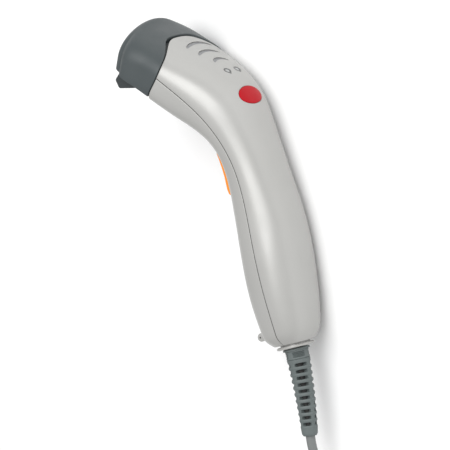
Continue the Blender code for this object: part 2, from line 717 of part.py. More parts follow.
# ---------------------------------------------------------------- base and strain relief

def base_collar(pose):
    """The thin plate that closes the base: a flange below and a spigot inside the shells."""
    first = np.array(STATIONS[0], dtype=float)
    spigot = -WALL - 0.4
    levels = ((COLLAR_LOW, -1.1), (COLLAR_LOW + 0.4, -0.6), (COLLAR_HIGH, -0.6), (COLLAR_HIGH + 0.3, -1.0),
              (COLLAR_HIGH + 0.3, spigot), (SPIGOT_TOP, spigot))
    rings = [[(x, y, level) for x, y, _ in station_ring(first, offset)] for level, offset in levels]
    collar = loft("base_collar", rings, light_plastic(), pose)
    hole = turned("collar_hole", ((3.9, -4.0), (3.9, 8.0)), None, pose, frame_at(BOOT_X, 0, 0))
    boolean(collar, "DIFFERENCE", hole)
    return collar


def boot_centre(level):
    """The strain relief bends a little forward: x and slope at a height below the base."""
    share = max(-level, 0.0) / -BOOT_END
    return BOOT_X + BOOT_DRIFT * share ** 1.7, 1.7 * BOOT_DRIFT * share ** 0.7 / -BOOT_END


def boot_turn(level):
    """How far the slots are turned about the boot's axis at a height (radians)."""
    span = (BOOT_SLOTS - 1) * BOOT_PITCH
    share = min(max((BOOT_FIRST_SLOT - level) / span, 0.0), 1.0)
    return math.radians(BOOT_TWIST[0] + (BOOT_TWIST[1] - BOOT_TWIST[0]) * share)


def boot_ring(level, radius, sides=24):
    x, slope = boot_centre(level)
    turn = boot_turn(level)
    ring = []
    for side in range(sides):
        angle = 2 * math.pi * side / sides
        c, s = math.cos(angle), math.sin(angle)
        far, wide = (radius * math.copysign(abs(v) ** (2 / BOOT_POWER), v) for v in (c, s))
        out = far * math.cos(turn) - wide * math.sin(turn)
        ring.append((x + out, far * math.sin(turn) + wide * math.cos(turn), level + out * slope))
    return ring


def boot_radius(level):
    levels = [-z for z, _ in BOOT_PROFILE]
    radii = [r for _, r in BOOT_PROFILE]
    return float(np.interp(-level, levels, radii))


def boot_notches(pose):
    """One cutter of separate blocks: four notches round the strain relief at each slot's height."""
    points, faces = [], []
    for number in range(BOOT_SLOTS):
        level = BOOT_FIRST_SLOT - BOOT_PITCH * number
        radius = boot_radius(level)
        x, slope = boot_centre(level)
        reach, half = (0.52 * radius, radius + 3), 0.5 * radius
        for quarter in range(4):
            turn = boot_turn(level) + math.radians(90 * quarter)
            start = len(points)
            for far, side, up in itertools.product(reach, (-half, half), (-BOOT_SLOT_HALF, BOOT_SLOT_HALF)):
                out = far * math.cos(turn) - side * math.sin(turn)
                across = far * math.sin(turn) + side * math.cos(turn)
                points.append((x + out, across, level + up + out * slope))
            faces += [tuple(start + corner for corner in face) for face in BLOCK_FACES]
    return add_object("boot_notches", points, faces, None, pose, smooth=False)


def strain_relief(pose):
    rings = [boot_ring(level, radius) for level, radius in BOOT_PROFILE]
    boot = loft("strain_relief", rings, boot_rubber(), pose)
    boolean(boot, "DIFFERENCE", boot_notches(pose))
    return boot


# ---------------------------------------------------------------- badge

def badge(pose):
    """The plain oval badge, cut from the form's own surface so that it follows its curve."""
    plate = prism("badge", oval(BADGE_HALF[1], BADGE_HALF[0]), -8.0, 8.0,
                  material("badge_red", (0.62, 0.01, 0.03), 0.25), pose, badge_frame())
    boolean(plate, "INTERSECT", form("badge_top", 0.25, None, pose))
    boolean(plate, "DIFFERENCE", form("badge_floor", -0.9, None, pose))
    return plate


# ---------------------------------------------------------------- lead, coil and plug

def lead(name, route):
    points = natural_spline(route, 6)
    return wire(name, points, CORD / 2, cord_jacket(), None, None, 3)


def cord_coil():
    low, high = CORD_LIFT, CORD_LIFT + COIL_HEIGHT
    section = ((COIL_RADII[0], low), (COIL_RADII[1], low), (COIL_RADII[1], high), (COIL_RADII[0], high))
    rings = []
    for step in range(40):
        angle = 2 * math.pi * step / 40
        rings.append([(COIL_CENTRE[0] + r * math.cos(angle), COIL_CENTRE[1] + r * math.sin(angle), z)
                      for r, z in section])
    return hoop("cord_coil", rings, cord_jacket())


def coil_tie():
    """A flat band round the coil's bundle."""
    middle = sum(COIL_RADII) / 2
    half = (COIL_RADII[1] - COIL_RADII[0]) / 2 + 0.9
    angle = math.radians(TIE_ANGLE)
    turn = Matrix.Rotation(angle, 4, "Z")
    frame = frame_at(COIL_CENTRE[0], COIL_CENTRE[1], 0) @ turn
    top = CORD_LIFT + COIL_HEIGHT
    outer = block("coil_tie", (middle - half - 0.5, -4.0, 0.05), (middle + half + 0.5, 4.0, top + 0.9),
                  black_plastic(), None, frame)
    boolean(outer, "DIFFERENCE", block("tie_hole", (middle - half, -6.0, CORD_LIFT - 0.35),
                                       (middle + half, 6.0, top + 0.4), None, None, frame))
    return outer


def usb_plug():
    """A plug lying flat: the cord comes in at its origin and the metal shell points along x."""
    turn = Matrix.Rotation(math.radians(PLUG_TURN), 4, "Z")
    frame = frame_at(*PLUG_PLACE) @ turn
    sections = ((0.3, 3.4, 3.2), (6.0, 3.9, 3.4), (9.0, 6.6, 3.9), (13.0, 7.9, 4.1), (29.0, 7.9, 4.1),
                (30.0, 7.5, 3.8))
    rings = [[(x, half * px, high * py) for px, py in oval_box()] for x, half, high in sections]
    loft("usb_plug_body", rings, boot_rubber(), None, frame)
    shell = block("usb_plug_shell", (30.4, -6.0, -2.25), (42.4, 6.0, 2.25), steel(), None, frame)
    hollow = block("shell_hollow", (31.4, -5.65, -1.9), (45.0, 5.65, 1.9), None, None, frame)
    boolean(shell, "DIFFERENCE", hollow)
    skin = material("tongue", (0.85, 0.85, 0.83))
    block("usb_plug_tongue", (31.8, -5.2, -1.5), (41.8, 5.2, 0.3), skin, None, frame)


def oval_box(sides=20, power=4.0):
    """A unit outline between an oval and a box."""
    outline = []
    for side in range(sides):
        angle = 2 * math.pi * side / sides
        c, s = math.cos(angle), math.sin(angle)
        outline.append(tuple(math.copysign(abs(v) ** (2 / power), v) for v in (c, s)))
    return outline


# ---------------------------------------------------------------- whole

def scanner_pose():
    """The empty that lays the scanner on its right side, with its head towards +Y."""
    pose = bpy.data.objects.new("scanner_pose", None)
    bpy.context.scene.collection.objects.link(pose)
    lie_down = Matrix(((-1, 0, 0), (0, 0, 1), (0, 1, 0))).to_4x4()
    tilt = Matrix.Rotation(math.radians(REST_TILT), 4, "X")
    roll = Matrix.Rotation(math.radians(REST_ROLL), 4, "Y")
    pose.matrix_world = tilt @ roll @ lie_down
    return pose


def stand_on_floor(pose):
    """Moves the scanner so that its box stands on the floor, centred on the origin."""
    bpy.context.view_layer.update()
    graph = bpy.context.evaluated_depsgraph_get()
    corners = []
    for obj in bpy.data.objects:
        if obj.parent == pose and not obj.hide_render:
            shape = obj.evaluated_get(graph)
            mesh = shape.to_mesh()
            corners += [obj.matrix_world @ point.co for point in mesh.vertices]
            shape.to_mesh_clear()
    low = Vector(min(c[axis] for c in corners) for axis in range(3))
    high = Vector(max(c[axis] for c in corners) for axis in range(3))
    middle = (low + high) / 2
    pose.matrix_world = Matrix.Translation((-middle.x, -middle.y, -low.z)) @ pose.matrix_world


def build():
    clear_scene()
    pose = scanner_pose()
    rear_shell(pose)
    front_shell(pose)
    head_cap(pose)
    face_bezel(pose)
    face_window(pose)
    window_gasket(pose)
    antenna(pose)
    antenna_leads(pose)
    reader_board(pose)
    board_ribbon(pose)
    main_board(pose)
    buzzer(pose)
    trigger_switch(pose)
    trigger(pose)
    trigger_spring(pose)
    cable_socket(pose)
    base_collar(pose)
    strain_relief(pose)
    badge(pose)
    for name, (z, *_, seat) in zip(("lower", "upper"), HOUSING_SCREWS):
        place = along_x(seat + GAP, 0, z)
        screw("housing_screw_" + name, pose, place, 12.0, SCREW_HEAD, SCREW_SHANK)
    lead("cord_lead", LEAD_ROUTE)
    cord_coil()
    lead("cord_tail", TAIL_ROUTE)
    coil_tie()
    usb_plug()
    stand_on_floor(pose)


build()
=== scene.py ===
"""The looks of a hand-held, corded microchip scanner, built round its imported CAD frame.

Lengths are millimetres. The scanner's pieces are modelled in its own frame: x points forward, to the
side of the trigger, y to the left, and z up the handle from the bottom of the base collar. The matrix POSE
lays that frame down as the CAD lies. The floor, the lead and its plug are in world coordinates.
"""
import json
import math

import bmesh
import bpy
import numpy as np
from mathutils import Matrix, Vector


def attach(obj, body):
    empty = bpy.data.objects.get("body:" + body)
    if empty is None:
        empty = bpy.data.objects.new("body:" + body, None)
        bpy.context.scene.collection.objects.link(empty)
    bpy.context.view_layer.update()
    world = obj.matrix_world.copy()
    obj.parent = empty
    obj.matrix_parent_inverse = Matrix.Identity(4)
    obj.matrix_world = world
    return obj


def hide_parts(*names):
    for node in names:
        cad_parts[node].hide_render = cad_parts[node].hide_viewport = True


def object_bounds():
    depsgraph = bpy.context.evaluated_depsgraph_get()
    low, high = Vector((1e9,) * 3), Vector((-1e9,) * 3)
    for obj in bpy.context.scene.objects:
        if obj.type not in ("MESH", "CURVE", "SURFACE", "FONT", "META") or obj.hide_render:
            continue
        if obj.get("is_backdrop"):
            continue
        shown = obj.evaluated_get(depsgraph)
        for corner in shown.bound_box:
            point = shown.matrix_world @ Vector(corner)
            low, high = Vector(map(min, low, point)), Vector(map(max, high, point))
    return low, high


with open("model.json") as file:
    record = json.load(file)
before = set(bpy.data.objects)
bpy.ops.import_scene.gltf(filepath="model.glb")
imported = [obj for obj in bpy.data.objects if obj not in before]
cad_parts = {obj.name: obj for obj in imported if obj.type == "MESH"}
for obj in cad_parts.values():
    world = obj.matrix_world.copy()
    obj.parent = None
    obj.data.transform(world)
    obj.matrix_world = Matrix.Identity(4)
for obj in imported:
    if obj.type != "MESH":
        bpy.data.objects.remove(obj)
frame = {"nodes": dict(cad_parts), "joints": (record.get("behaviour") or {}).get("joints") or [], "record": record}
CAD_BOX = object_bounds()
MM = 0.001

# ---------------- dimensions

# How the scanner lies on the floor (degrees), and the trigger's pivot in its frame.
REST_TILT = 1.9
REST_ROLL = 15.5
PIVOT = (5.5, 0.0, 112.5)

# Outer form: stations along the widest line of the housing, from the base to the nose.
# x, z, tilt, half width, back depth, front depth, back exponent, front exponent
STATIONS = (
    (0.2, 1.2, 0, 11.0, 10.3, 10.0, 2.3, 2.3),
    (0.4, 5.0, 0, 14.4, 13.2, 13.4, 2.3, 2.3),
    (0.0, 10.0, 0, 16.2, 14.8, 15.0, 2.3, 2.3),
    (-0.6, 20.0, 0, 18.0, 16.2, 16.2, 2.3, 2.3),
    (-1.2, 34.0, 0, 19.6, 17.6, 16.8, 2.3, 2.3),
    (-2.0, 52.0, 0, 20.2, 18.6, 16.0, 2.3, 2.3),
    (-2.8, 70.0, 0, 19.6, 17.8, 15.0, 2.3, 2.3),
    (-3.0, 86.0, 0, 19.2, 15.8, 13.8, 2.3, 2.3),
    (-1.8, 100.0, 6, 19.6, 15.2, 12.4, 2.3, 2.3),
    (1.0, 113.0, 16, 21.4, 16.4, 11.6, 2.3, 2.4),
    (5.8, 126.0, 27, 24.4, 18.6, 13.2, 2.4, 2.8),
    (14.0, 140.0, 37, 28.0, 17.6, 15.4, 2.5, 3.6),
    (24.1, 153.4, 42, 31.0, 13.8, 15.6, 2.6, 5.0),
    (32.5, 161.5, 48, 31.4, 13.6, 15.6, 2.5, 6.0),
    (40.9, 166.6, 57, 31.7, 15.9, 15.8, 2.36, 6.0),
    (44.0, 168.7, 62, 28.3, 18.0, 15.0, 1.92, 6.0),
)
CAP_STATION = 11
SPLINE_STEPS = 30
NOSE_ROUND = 3.8
NOSE_BULGE = 1.5
NOSE_STEPS = 16
ARC_STEPS = 240
WALL = 2.4
CAP_PROUD = 0.5
GAP = 0.4
TINY = 1e-9

# Side-view line where the head cap meets the shells, up from the front of the shells to above the head.
CAP_LINE = ((60.0, 120.3), (33.0, 145.2), (24.1, 153.4), (20.6, 158.0), (19.5, 162.0), (20.4, 165.6),
            (22.2, 168.9), (24.1, 171.6), (25.4, 173.9), (25.4, 180.0), (22.0, 205.0))
CAP_LINE_STEPS = 12
FACE_ANGLE = math.radians(48)
FACE_POINT = np.array((33.1, 0.0, 145.4))
FACE_ALONG = np.array((math.cos(FACE_ANGLE), 0.0, math.sin(FACE_ANGLE)))
FACE_OUT = np.array((math.sin(FACE_ANGLE), 0.0, -math.cos(FACE_ANGLE)))
FACE_ACROSS = np.cross(FACE_OUT, FACE_ALONG)

# Lead: its diameter, the coil's middle and the cells of its bundle (radius, height), innermost to outermost.
CORD = 5.0
COIL_CENTRE = (-29.0, -200.0)
COIL_RADII = {"O": 34.5, "M": 29.5, "I": 24.5}
COIL_LEVELS = {"1": 3.4, "2": 8.4, "3": 13.4}
COIL_ORDER = ("O1", "M1", "I1", "I2", "I3", "M3", "M2", "O2", "O3")
TURN_STEPS = 40
COIL_CHANGE = 90.0
COIL_LAG = 33.0
LEAD_STEPS = 6
LEAD_ROUNDNESS = 6
LEAD_ROUTE = ((13.7, -116.5, 18.9), (12.6, -124.7, 18.2), (11.3, -134.0, 15.0), (10.0, -144.0, 10.0),
              (8.8, -154.0, 5.6), (7.7, -164.0, 3.2), (6.6, -173.0, 2.9), (5.5, -180.4, 3.4))
TAIL_ROUTE = ((5.5, -219.6, 13.4), (4.7, -228.0, 12.4), (1.2, -236.5, 9.8), (-5.0, -243.4, 6.8),
              (-13.0, -247.8, 4.8), (-22.0, -249.4, 4.3), (-26.0, -249.5, 4.3))
PLUG_PLACE = (-26.0, -249.5, 4.3)
PLUG_TURN = 180.0
TIE_ANGLE = 180.0

# Camera: where it stands round the scanner, how the picture is turned, and what it frames.
VIEW_AZIMUTH = math.radians(35)
VIEW_ROLL = math.radians(14)
VIEW_WIDTH = 236.8
VIEW_SHIFT = (-37.2, 63.05)
VIEW_DISTANCE = 2800.0
SENSOR = 36.0
CLIP_END = 20


# ---------------- pose and camera

def resting_pose():
    """The matrix that lays the scanner's own frame (in millimetres) down as the CAD lies, in metres."""
    lie_down = Matrix(((-1, 0, 0), (0, 0, 1), (0, 1, 0))).to_4x4()
    tilt = Matrix.Rotation(math.radians(REST_TILT), 4, "X")
    roll = Matrix.Rotation(math.radians(REST_ROLL), 4, "Y")
    turn = tilt @ roll @ lie_down
    press = next(joint for joint in frame["joints"] if joint["name"] == "trigger_press")
    pivot = Vector(press["pos_m"])
    return Matrix.Translation(pivot - turn @ (Vector(PIVOT) * MM)) @ turn


POSE = resting_pose()
TURN = POSE.to_3x3()


def placed(name, data):
    """A new object in the scene."""
    made = bpy.data.objects.new(name, data)
    bpy.context.scene.collection.objects.link(made)
    return made


def camera():
    """The camera, whose axes are given in the scanner's frame."""
    towards = Vector((-math.sin(VIEW_AZIMUTH), math.cos(VIEW_AZIMUTH), 0))
    level = Vector((-math.cos(VIEW_AZIMUTH), -math.sin(VIEW_AZIMUTH), 0))
    handle = Vector((0, 0, 1))
    right = level * math.cos(VIEW_ROLL) - handle * math.sin(VIEW_ROLL)
    up = handle * math.cos(VIEW_ROLL) + level * math.sin(VIEW_ROLL)
    target = right * VIEW_SHIFT[0] + up * VIEW_SHIFT[1]
    eye = target + towards * VIEW_DISTANCE
    data = bpy.data.cameras.new("camera")
    data.sensor_width = SENSOR
    data.lens = SENSOR * VIEW_DISTANCE / VIEW_WIDTH
    data.clip_end = CLIP_END
    made = placed("camera", data)
    axes = Matrix((TURN @ right, TURN @ up, TURN @ towards)).transposed().to_4x4()
    made.matrix_world = Matrix.Translation(POSE @ (eye * MM)) @ axes
    bpy.context.scene.camera = made


# ---------------- curves

def natural_spline(rows, steps):
    """Rows read off a natural cubic spline through the given rows, with steps in each span."""
    rows = np.array(rows, dtype=float)
    spans = np.sqrt(np.linalg.norm(np.diff(rows[:, :2], axis=0), axis=1))
    count = len(rows)
    system = np.zeros((count, count))
    right = np.zeros_like(rows)
    system[0, 0] = system[-1, -1] = 1.0
    for k in range(1, count - 1):
        system[k, k - 1:k + 2] = spans[k - 1], 2 * (spans[k - 1] + spans[k]), spans[k]
        right[k] = 6 * ((rows[k + 1] - rows[k]) / spans[k] - (rows[k] - rows[k - 1]) / spans[k - 1])
    bend = np.linalg.solve(system, right)
    result = []
    for k in range(count - 1):
        width = spans[k]
        for step in range(steps):
            done = step / steps * width
            left = width - done
            cubic = (bend[k] * left ** 3 + bend[k + 1] * done ** 3) / (6 * width)
            start = (rows[k] / width - bend[k] * width / 6) * left
            end = (rows[k + 1] / width - bend[k + 1] * width / 6) * done
            result.append(cubic + start + end)
    result.append(rows[-1])
    return np.array(result)


def smooth_step(value):
    value = min(max(value, 0.0), 1.0)
    return value * value * (3 - 2 * value)


def coil_points():
    """The coil's turns: one cell of the bundle after another, with a short change-over in each turn."""
    cells = [(COIL_RADII[name[0]], COIL_LEVELS[name[1]]) for name in COIL_ORDER]
    points = []
    for step in range((len(cells) - 1) * TURN_STEPS + 1):
        angle = 360.0 * step / TURN_STEPS
        radius, level = cells[0]
        for number in range(1, len(cells)):
            share = smooth_step((angle - number * (360.0 - COIL_LAG)) / COIL_CHANGE + 0.5)
            radius += (cells[number][0] - cells[number - 1][0]) * share
            level += (cells[number][1] - cells[number - 1][1]) * share
        turn = math.radians(angle)
        x, y = COIL_CENTRE
        points.append((x + radius * math.cos(turn), y - radius * math.sin(turn), level))
    return points


def lead():
    """The whole cord, along world points in millimetres."""
    start, end = (natural_spline(route, LEAD_STEPS) for route in (LEAD_ROUTE, TAIL_ROUTE))
    points = [*start, *coil_points(), *end]
    curve = bpy.data.curves.new("lead", "CURVE")
    curve.dimensions = "3D"
    curve.bevel_depth = CORD / 2 * MM
    curve.bevel_resolution = LEAD_ROUNDNESS
    curve.use_fill_caps = True
    line = curve.splines.new("POLY")
    line.points.add(len(points) - 1)
    for point, place in zip(line.points, points):
        point.co = (*(float(c) * MM for c in place), 1.0)
    return placed("lead", curve)


# ---------------- meshes

CREASE = math.radians(40)
ROUND_SIDES = 48


def add_mesh(name, points, faces, place=POSE):
    """One object from points in millimetres, with its faces turned outwards and its sharp edges kept."""
    mesh = bpy.data.meshes.new(name)
    mesh.from_pydata([tuple(float(c) * MM for c in p) for p in points], [], faces)
    mesh.transform(place)
    shape = bmesh.new()
    shape.from_mesh(mesh)
    bmesh.ops.recalc_face_normals(shape, faces=shape.faces)
    shape.to_mesh(mesh)
    shape.free()
    made = placed(name, mesh)
    shade(made)
    return made


def shade(obj):
    obj.data.shade_smooth()
    obj.data.set_sharp_from_angle(angle=CREASE)


def settle(obj):
    """Replaces the object's mesh by what its modifiers make of it."""
    bpy.context.view_layer.update()
    graph = bpy.context.evaluated_depsgraph_get()
    mesh = bpy.data.meshes.new_from_object(obj.evaluated_get(graph))
    obj.modifiers.clear()
    obj.data = mesh
    shade(obj)
    return obj


def carve(obj, operation, *cutters):
    """Cuts from the object, or adds to it, the shapes of other objects, which are then removed."""
    for cutter in cutters:
        step = obj.modifiers.new("carve", "BOOLEAN")
        step.operation = operation
        step.solver = "EXACT"
        step.object = cutter
    settle(obj)
    for cutter in cutters:
        bpy.data.objects.remove(cutter)
    return obj


def bevelled(obj, width, segments, limit):
    """Rounds the edges that are sharper than a limit in degrees."""
    edge = obj.modifiers.new("edges", "BEVEL")
    edge.width = width * MM
    edge.segments = segments
    edge.limit_method = "ANGLE"
    edge.angle_limit = math.radians(limit)
    return settle(obj)


def loft(name, rings, place=POSE, closed=False):
    """A solid through rings that all have the same number of points; closed joins the last to the first."""
    sides = len(rings[0])
    points = [p for ring in rings for p in ring]
    faces = []
    for low in range(len(rings) - (not closed)):
        high = (low + 1) % len(rings)
        for side in range(sides):
            ahead = (side + 1) % sides
            faces.append((low * sides + side, low * sides + ahead, high * sides + ahead, high * sides + side))
    if not closed:
        last = (len(rings) - 1) * sides
        faces += [tuple(range(sides)), tuple(last + side for side in range(sides))]
    return add_mesh(name, points, faces, place)


def prism(name, outline, low, high, place):
    """An outline of (x, y) points drawn up along z."""
    return loft(name, [[(x, y, level) for x, y in outline] for level in (low, high)], place)


def box_at(name, low, high, place):
    outline = ((low[0], low[1]), (high[0], low[1]), (high[0], high[1]), (low[0], high[1]))
    return prism(name, outline, low[2], high[2], place)


def circle(radius, sides=ROUND_SIDES):
    turn = np.arange(sides) * 2 * math.pi / sides
    return [(radius * math.cos(a), radius * math.sin(a)) for a in turn]


def turned(name, profile, place, sides=ROUND_SIDES):
    """A solid turned about z from (radius, z) points, from its lower end to its upper end."""
    return loft(name, [[(x, y, level) for x, y in circle(radius, sides)] for radius, level in profile], place)


def bore(name, radius, low, high, place, sides=ROUND_SIDES):
    """A plain round cutter."""
    return turned(name, ((radius, low), (radius, high)), place, sides)


def frame_at(x, y, z, turn=None):
    place = POSE @ Matrix.Translation(Vector((x, y, z)) * MM)
    return place @ turn if turn else place


def along_x(x, y, z):
    return frame_at(x, y, z, Matrix.Rotation(math.radians(90), 4, "Y"))


def along_y(x, y, z):
    return frame_at(x, y, z, Matrix.Rotation(math.radians(-90), 4, "X"))


def face_place(along=0.0, across=0.0, out=0.0):
    """The reading face's frame: x runs along it to the nose, y to the scanner's right, z outwards."""
    turn = Matrix([Vector(axis) for axis in (FACE_ALONG, FACE_ACROSS, FACE_OUT)]).transposed().to_4x4()
    return frame_at(*FACE_POINT, turn) @ Matrix.Translation(Vector((along, across, out)) * MM)


def rounded_box(x_low, x_high, half, corner, steps=8):
    """A rounded rectangle from x_low to x_high and half to each side."""
    outline = []
    centres = ((x_high - corner, half - corner, 0), (x_low + corner, half - corner, 90),
               (x_low + corner, corner - half, 180), (x_high - corner, corner - half, 270))
    for cx, cy, start in centres:
        for step in range(steps + 1):
            angle = math.radians(start + 90 * step / steps)
            outline.append((cx + corner * math.cos(angle), cy + corner * math.sin(angle)))
    return outline


# ---------------- the housing's form

def out_from(row, across, deep, forward):
    """Points across a station, deep towards its back and forward of it."""
    x, z, tilt = row[0], row[1], math.radians(row[2])
    return np.stack((x - deep * math.cos(tilt) + forward * math.sin(tilt), across,
                     z + deep * math.sin(tilt) + forward * math.cos(tilt)), axis=-1)


def ring(row, offset, forward=0.0):
    """A cross-section, a superellipse with its own back and front, from the front's middle round the left."""
    half, back, front, back_power, front_power = row[3:]
    turn = np.linspace(-math.pi / 2, 3 * math.pi / 2, 2 * ARC_STEPS + 1)
    c, s = np.cos(turn), np.sin(turn)
    c[np.abs(c) < TINY] = 0.0
    power = np.where(s >= 0, back_power, front_power)
    across = (half + offset) * np.sign(c) * np.abs(c) ** (2 / power)
    deep = np.where(s >= 0, back + offset, front + offset) * np.sign(s) * np.abs(s) ** (2 / power)
    return out_from(row, across, deep, forward)


def form_rings(offset, first=0):
    """The form's cross-sections from a station up to the rounded edge of its nose."""
    rows = natural_spline(STATIONS, SPLINE_STEPS)
    rings = [ring(row, offset) for row in rows[first * SPLINE_STEPS:]]
    radius = NOSE_ROUND + offset
    for step in range(1, NOSE_STEPS + 1):
        turn = math.radians(90 * step / NOSE_STEPS)
        rings.append(ring(rows[-1], offset - radius * (1 - math.cos(turn)), radius * math.sin(turn)))
    return rings


def nose_points(across, deep, offset):
    """Points on the slightly bulging end of the nose, from their places across it and towards the back."""
    half, back, front, back_power, front_power = STATIONS[-1][3:]
    power = np.where(deep >= 0, back_power, front_power)
    depth = np.where(deep >= 0, back, front) - NOSE_ROUND
    share = (np.abs(across / (half - NOSE_ROUND)) ** power + np.abs(deep / depth) ** power) ** (1 / power)
    forward = NOSE_ROUND + offset + NOSE_BULGE * (1 - np.minimum(share, 1.0) ** 2)
    return out_from(STATIONS[-1], across, deep, forward)


def from_face(points):
    """How far points stand out of the plane of the reading face."""
    return (np.asarray(points) - FACE_POINT) @ FACE_OUT


def from_cap_line(points):
    """How far points are in front of the line where the cap meets the shells, in side view."""
    line = natural_spline(CAP_LINE, CAP_LINE_STEPS)
    points = np.asarray(points)
    slope = np.gradient(line[:, 0], line[:, 1])
    x = np.interp(points[..., 2], line[:, 1], line[:, 0])
    return (points[..., 0] - x) / np.sqrt(1 + np.interp(points[..., 2], line[:, 1], slope) ** 2)


# ---------------- shells as grids

EDGE_TURNS = np.radians((0, 20, 40, 60, 75))


def run_of(points):
    """The distance along a polyline at each of its points."""
    return np.concatenate(((0.0,), np.cumsum(np.linalg.norm(np.diff(points, axis=0), axis=1))))


def along(points, distances):
    run = run_of(points)
    return np.stack([np.interp(distances, run, points[:, axis]) for axis in range(3)], axis=1)


def edge_steps(length, count, rounding):
    """Distances from 0 to length: even steps, with closer ones over the two rounded edges."""
    near = rounding * (1 - np.cos(EDGE_TURNS))
    return np.concatenate((near, np.linspace(rounding, length - rounding, count), length - near[::-1]))


def columns_of(arcs, count, rounding, margin):
    """Each arc read off at the same number of places, as an array (arc, place, xyz)."""
    table = []
    for arc in arcs:
        length = run_of(arc)[-1] - 2 * margin
        table.append(along(arc, margin + edge_steps(length, count, rounding)))
    return np.array(table)


def crossing(points, side, inside, outside):
    """Where the line between two neighbouring points leaves the positive side."""
    share = side[inside] / (side[inside] - side[outside])
    return points[inside] + (points[outside] - points[inside]) * share


def trimmed(table, sides, count, rounding):
    """A table's columns cut where sides turns negative, and read off evenly: (row, column, xyz)."""
    grid = []
    for column, side in zip(np.swapaxes(table, 0, 1), sides.T):
        inside = np.where(side > 0)[0]
        first, last = inside[0], inside[-1]
        points = list(column[first:last + 1])
        if first > 0:
            points.insert(0, crossing(column, side, first, first - 1))
        if last < len(column) - 1:
            points.append(crossing(column, side, last, last + 1))
        points = np.array(points)
        grid.append(along(points, edge_steps(run_of(points)[-1], count, rounding)))
    return np.swapaxes(np.array(grid), 0, 1)


def rounded_edges(grid, rounding):
    """Sinks the grid's points near its four edges, so that they form quarter rounds."""
    up = np.gradient(grid, axis=0)
    side = np.gradient(grid, axis=1)
    normal = np.cross(side, up)
    normal /= np.maximum(np.linalg.norm(normal, axis=2, keepdims=True), TINY)
    middle = grid.mean(axis=(0, 1))
    if ((grid - middle) * normal).sum() < 0:
        normal = -normal
    near = np.full(grid.shape[:2], np.inf)
    for axis in (0, 1):
        lines = np.swapaxes(grid, 0, 1) if axis else grid
        steps = np.linalg.norm(np.diff(lines, axis=0), axis=2)
        run = np.concatenate((np.zeros((1, lines.shape[1])), np.cumsum(steps, axis=0)))
        nearest = np.minimum(run, run[-1] - run)
        near = np.minimum(near, nearest.T if axis else nearest)
    left = np.maximum(rounding - near, 0.0)
    sink = rounding - np.sqrt(np.maximum(rounding ** 2 - left ** 2, 0.0))
    return grid - normal * sink[..., None]


def walled(name, outer, inner, rounding):
    """A closed shell from the grid of its outer face and that of its inner face."""
    rows, columns = outer.shape[:2]
    count = rows * columns
    index = np.arange(count).reshape(rows, columns)
    quads = np.stack((index[:-1, :-1], index[:-1, 1:], index[1:, 1:], index[1:, :-1]), axis=-1).reshape(-1, 4)
    border = np.concatenate((index[0], index[1:, -1], index[-1, -2::-1], index[-2:0:-1, 0]))
    ahead = np.roll(border, -1)
    walls = np.stack((border, ahead, ahead + count, border + count), axis=1)
    points = np.concatenate((rounded_edges(outer, rounding).reshape(-1, 3), inner.reshape(-1, 3)))
    return add_mesh(name, points, np.concatenate((quads, quads[:, ::-1] + count, walls)).tolist())


SHELL_EDGE = 0.3
SHELL_COLUMNS = 72
SHELL_ROWS = 150


def half_shell(name, back):
    """The rear or the front shell: one side of the parting line, from the base up to the head cap."""
    tables = []
    left, right = ARC_STEPS // 2, 3 * ARC_STEPS // 2
    for offset in (0.0, -WALL):
        arcs = []
        for points in form_rings(offset)[:(CAP_STATION + 3) * SPLINE_STEPS]:
            half = points[left:right + 1]
            if not back:
                half = np.concatenate((points[right:], points[1:left + 1]))
            arcs.append(half)
        tables.append(columns_of(arcs, SHELL_COLUMNS, SHELL_EDGE, GAP / 2))
    sides = -from_cap_line(tables[0]) - GAP / 2
    return walled(name, *(trimmed(table, sides, SHELL_ROWS, SHELL_EDGE) for table in tables), SHELL_EDGE)


CAP_EDGE = 0.45
CAP_COLUMNS = 110
CAP_ROWS = 70
NOSE_ROWS = 24
NOSE_TRIES = 6
LIP_REACH = 2.5
LIP_DEPTHS = (0.1, 1.0)
LIP_EDGE = 0.2
LIP_ROWS = 12


def hood_arc(points):
    """The part of a cross-section behind the plane of the reading face, from left to right."""
    half = points[:ARC_STEPS + 1]
    side = from_face(half)
    first = np.where(side > 0)[0][-1] + 1
    left = np.concatenate((crossing(half, side, first, first - 1)[None], half[first:]))
    return np.concatenate((left, (left * (1, -1, 1))[-2::-1]))


def nose_rows(last, offset):
    """Rows of points across the flat end of the nose, from its rounded edge to the reading face."""
    x, z, tilt = STATIONS[-1][:3]
    tilt = math.radians(tilt)
    centre = np.array((x, 0.0, z))
    back = np.array((-math.cos(tilt), 0.0, math.sin(tilt)))
    across, deep = last[:, 1], (last - centre) @ back
    chord_across = np.linspace(across[0], across[-1], len(last))
    chord_deep = np.full(len(last), deep[0])
    for _ in range(NOSE_TRIES):
        chord_deep = chord_deep - from_face(nose_points(chord_across, chord_deep, offset)) / (back @ FACE_OUT)
    rows = []
    for step in range(1, NOSE_ROWS + 1):
        share = step / NOSE_ROWS
        mixed = (near + (far - near) * share for near, far in ((across, chord_across), (deep, chord_deep)))
        rows.append(nose_points(*mixed, offset))
    return np.array(rows)


def cap_table(offset):
    arcs = [hood_arc(points) for points in form_rings(offset, CAP_STATION)]
    table = columns_of(arcs, CAP_COLUMNS, CAP_EDGE, 0.0)
    return np.concatenate((table, nose_rows(table[-1], offset)))


def cap_grid(offset):
    """One face of the head's hood, cut square to the form along the cap line."""
    return trimmed(cap_table(offset), from_cap_line(cap_table(0.0)) - GAP / 2, CAP_ROWS, CAP_EDGE)


def head_cap():
    return walled("head_hood", cap_grid(CAP_PROUD), cap_grid(-WALL), CAP_EDGE)


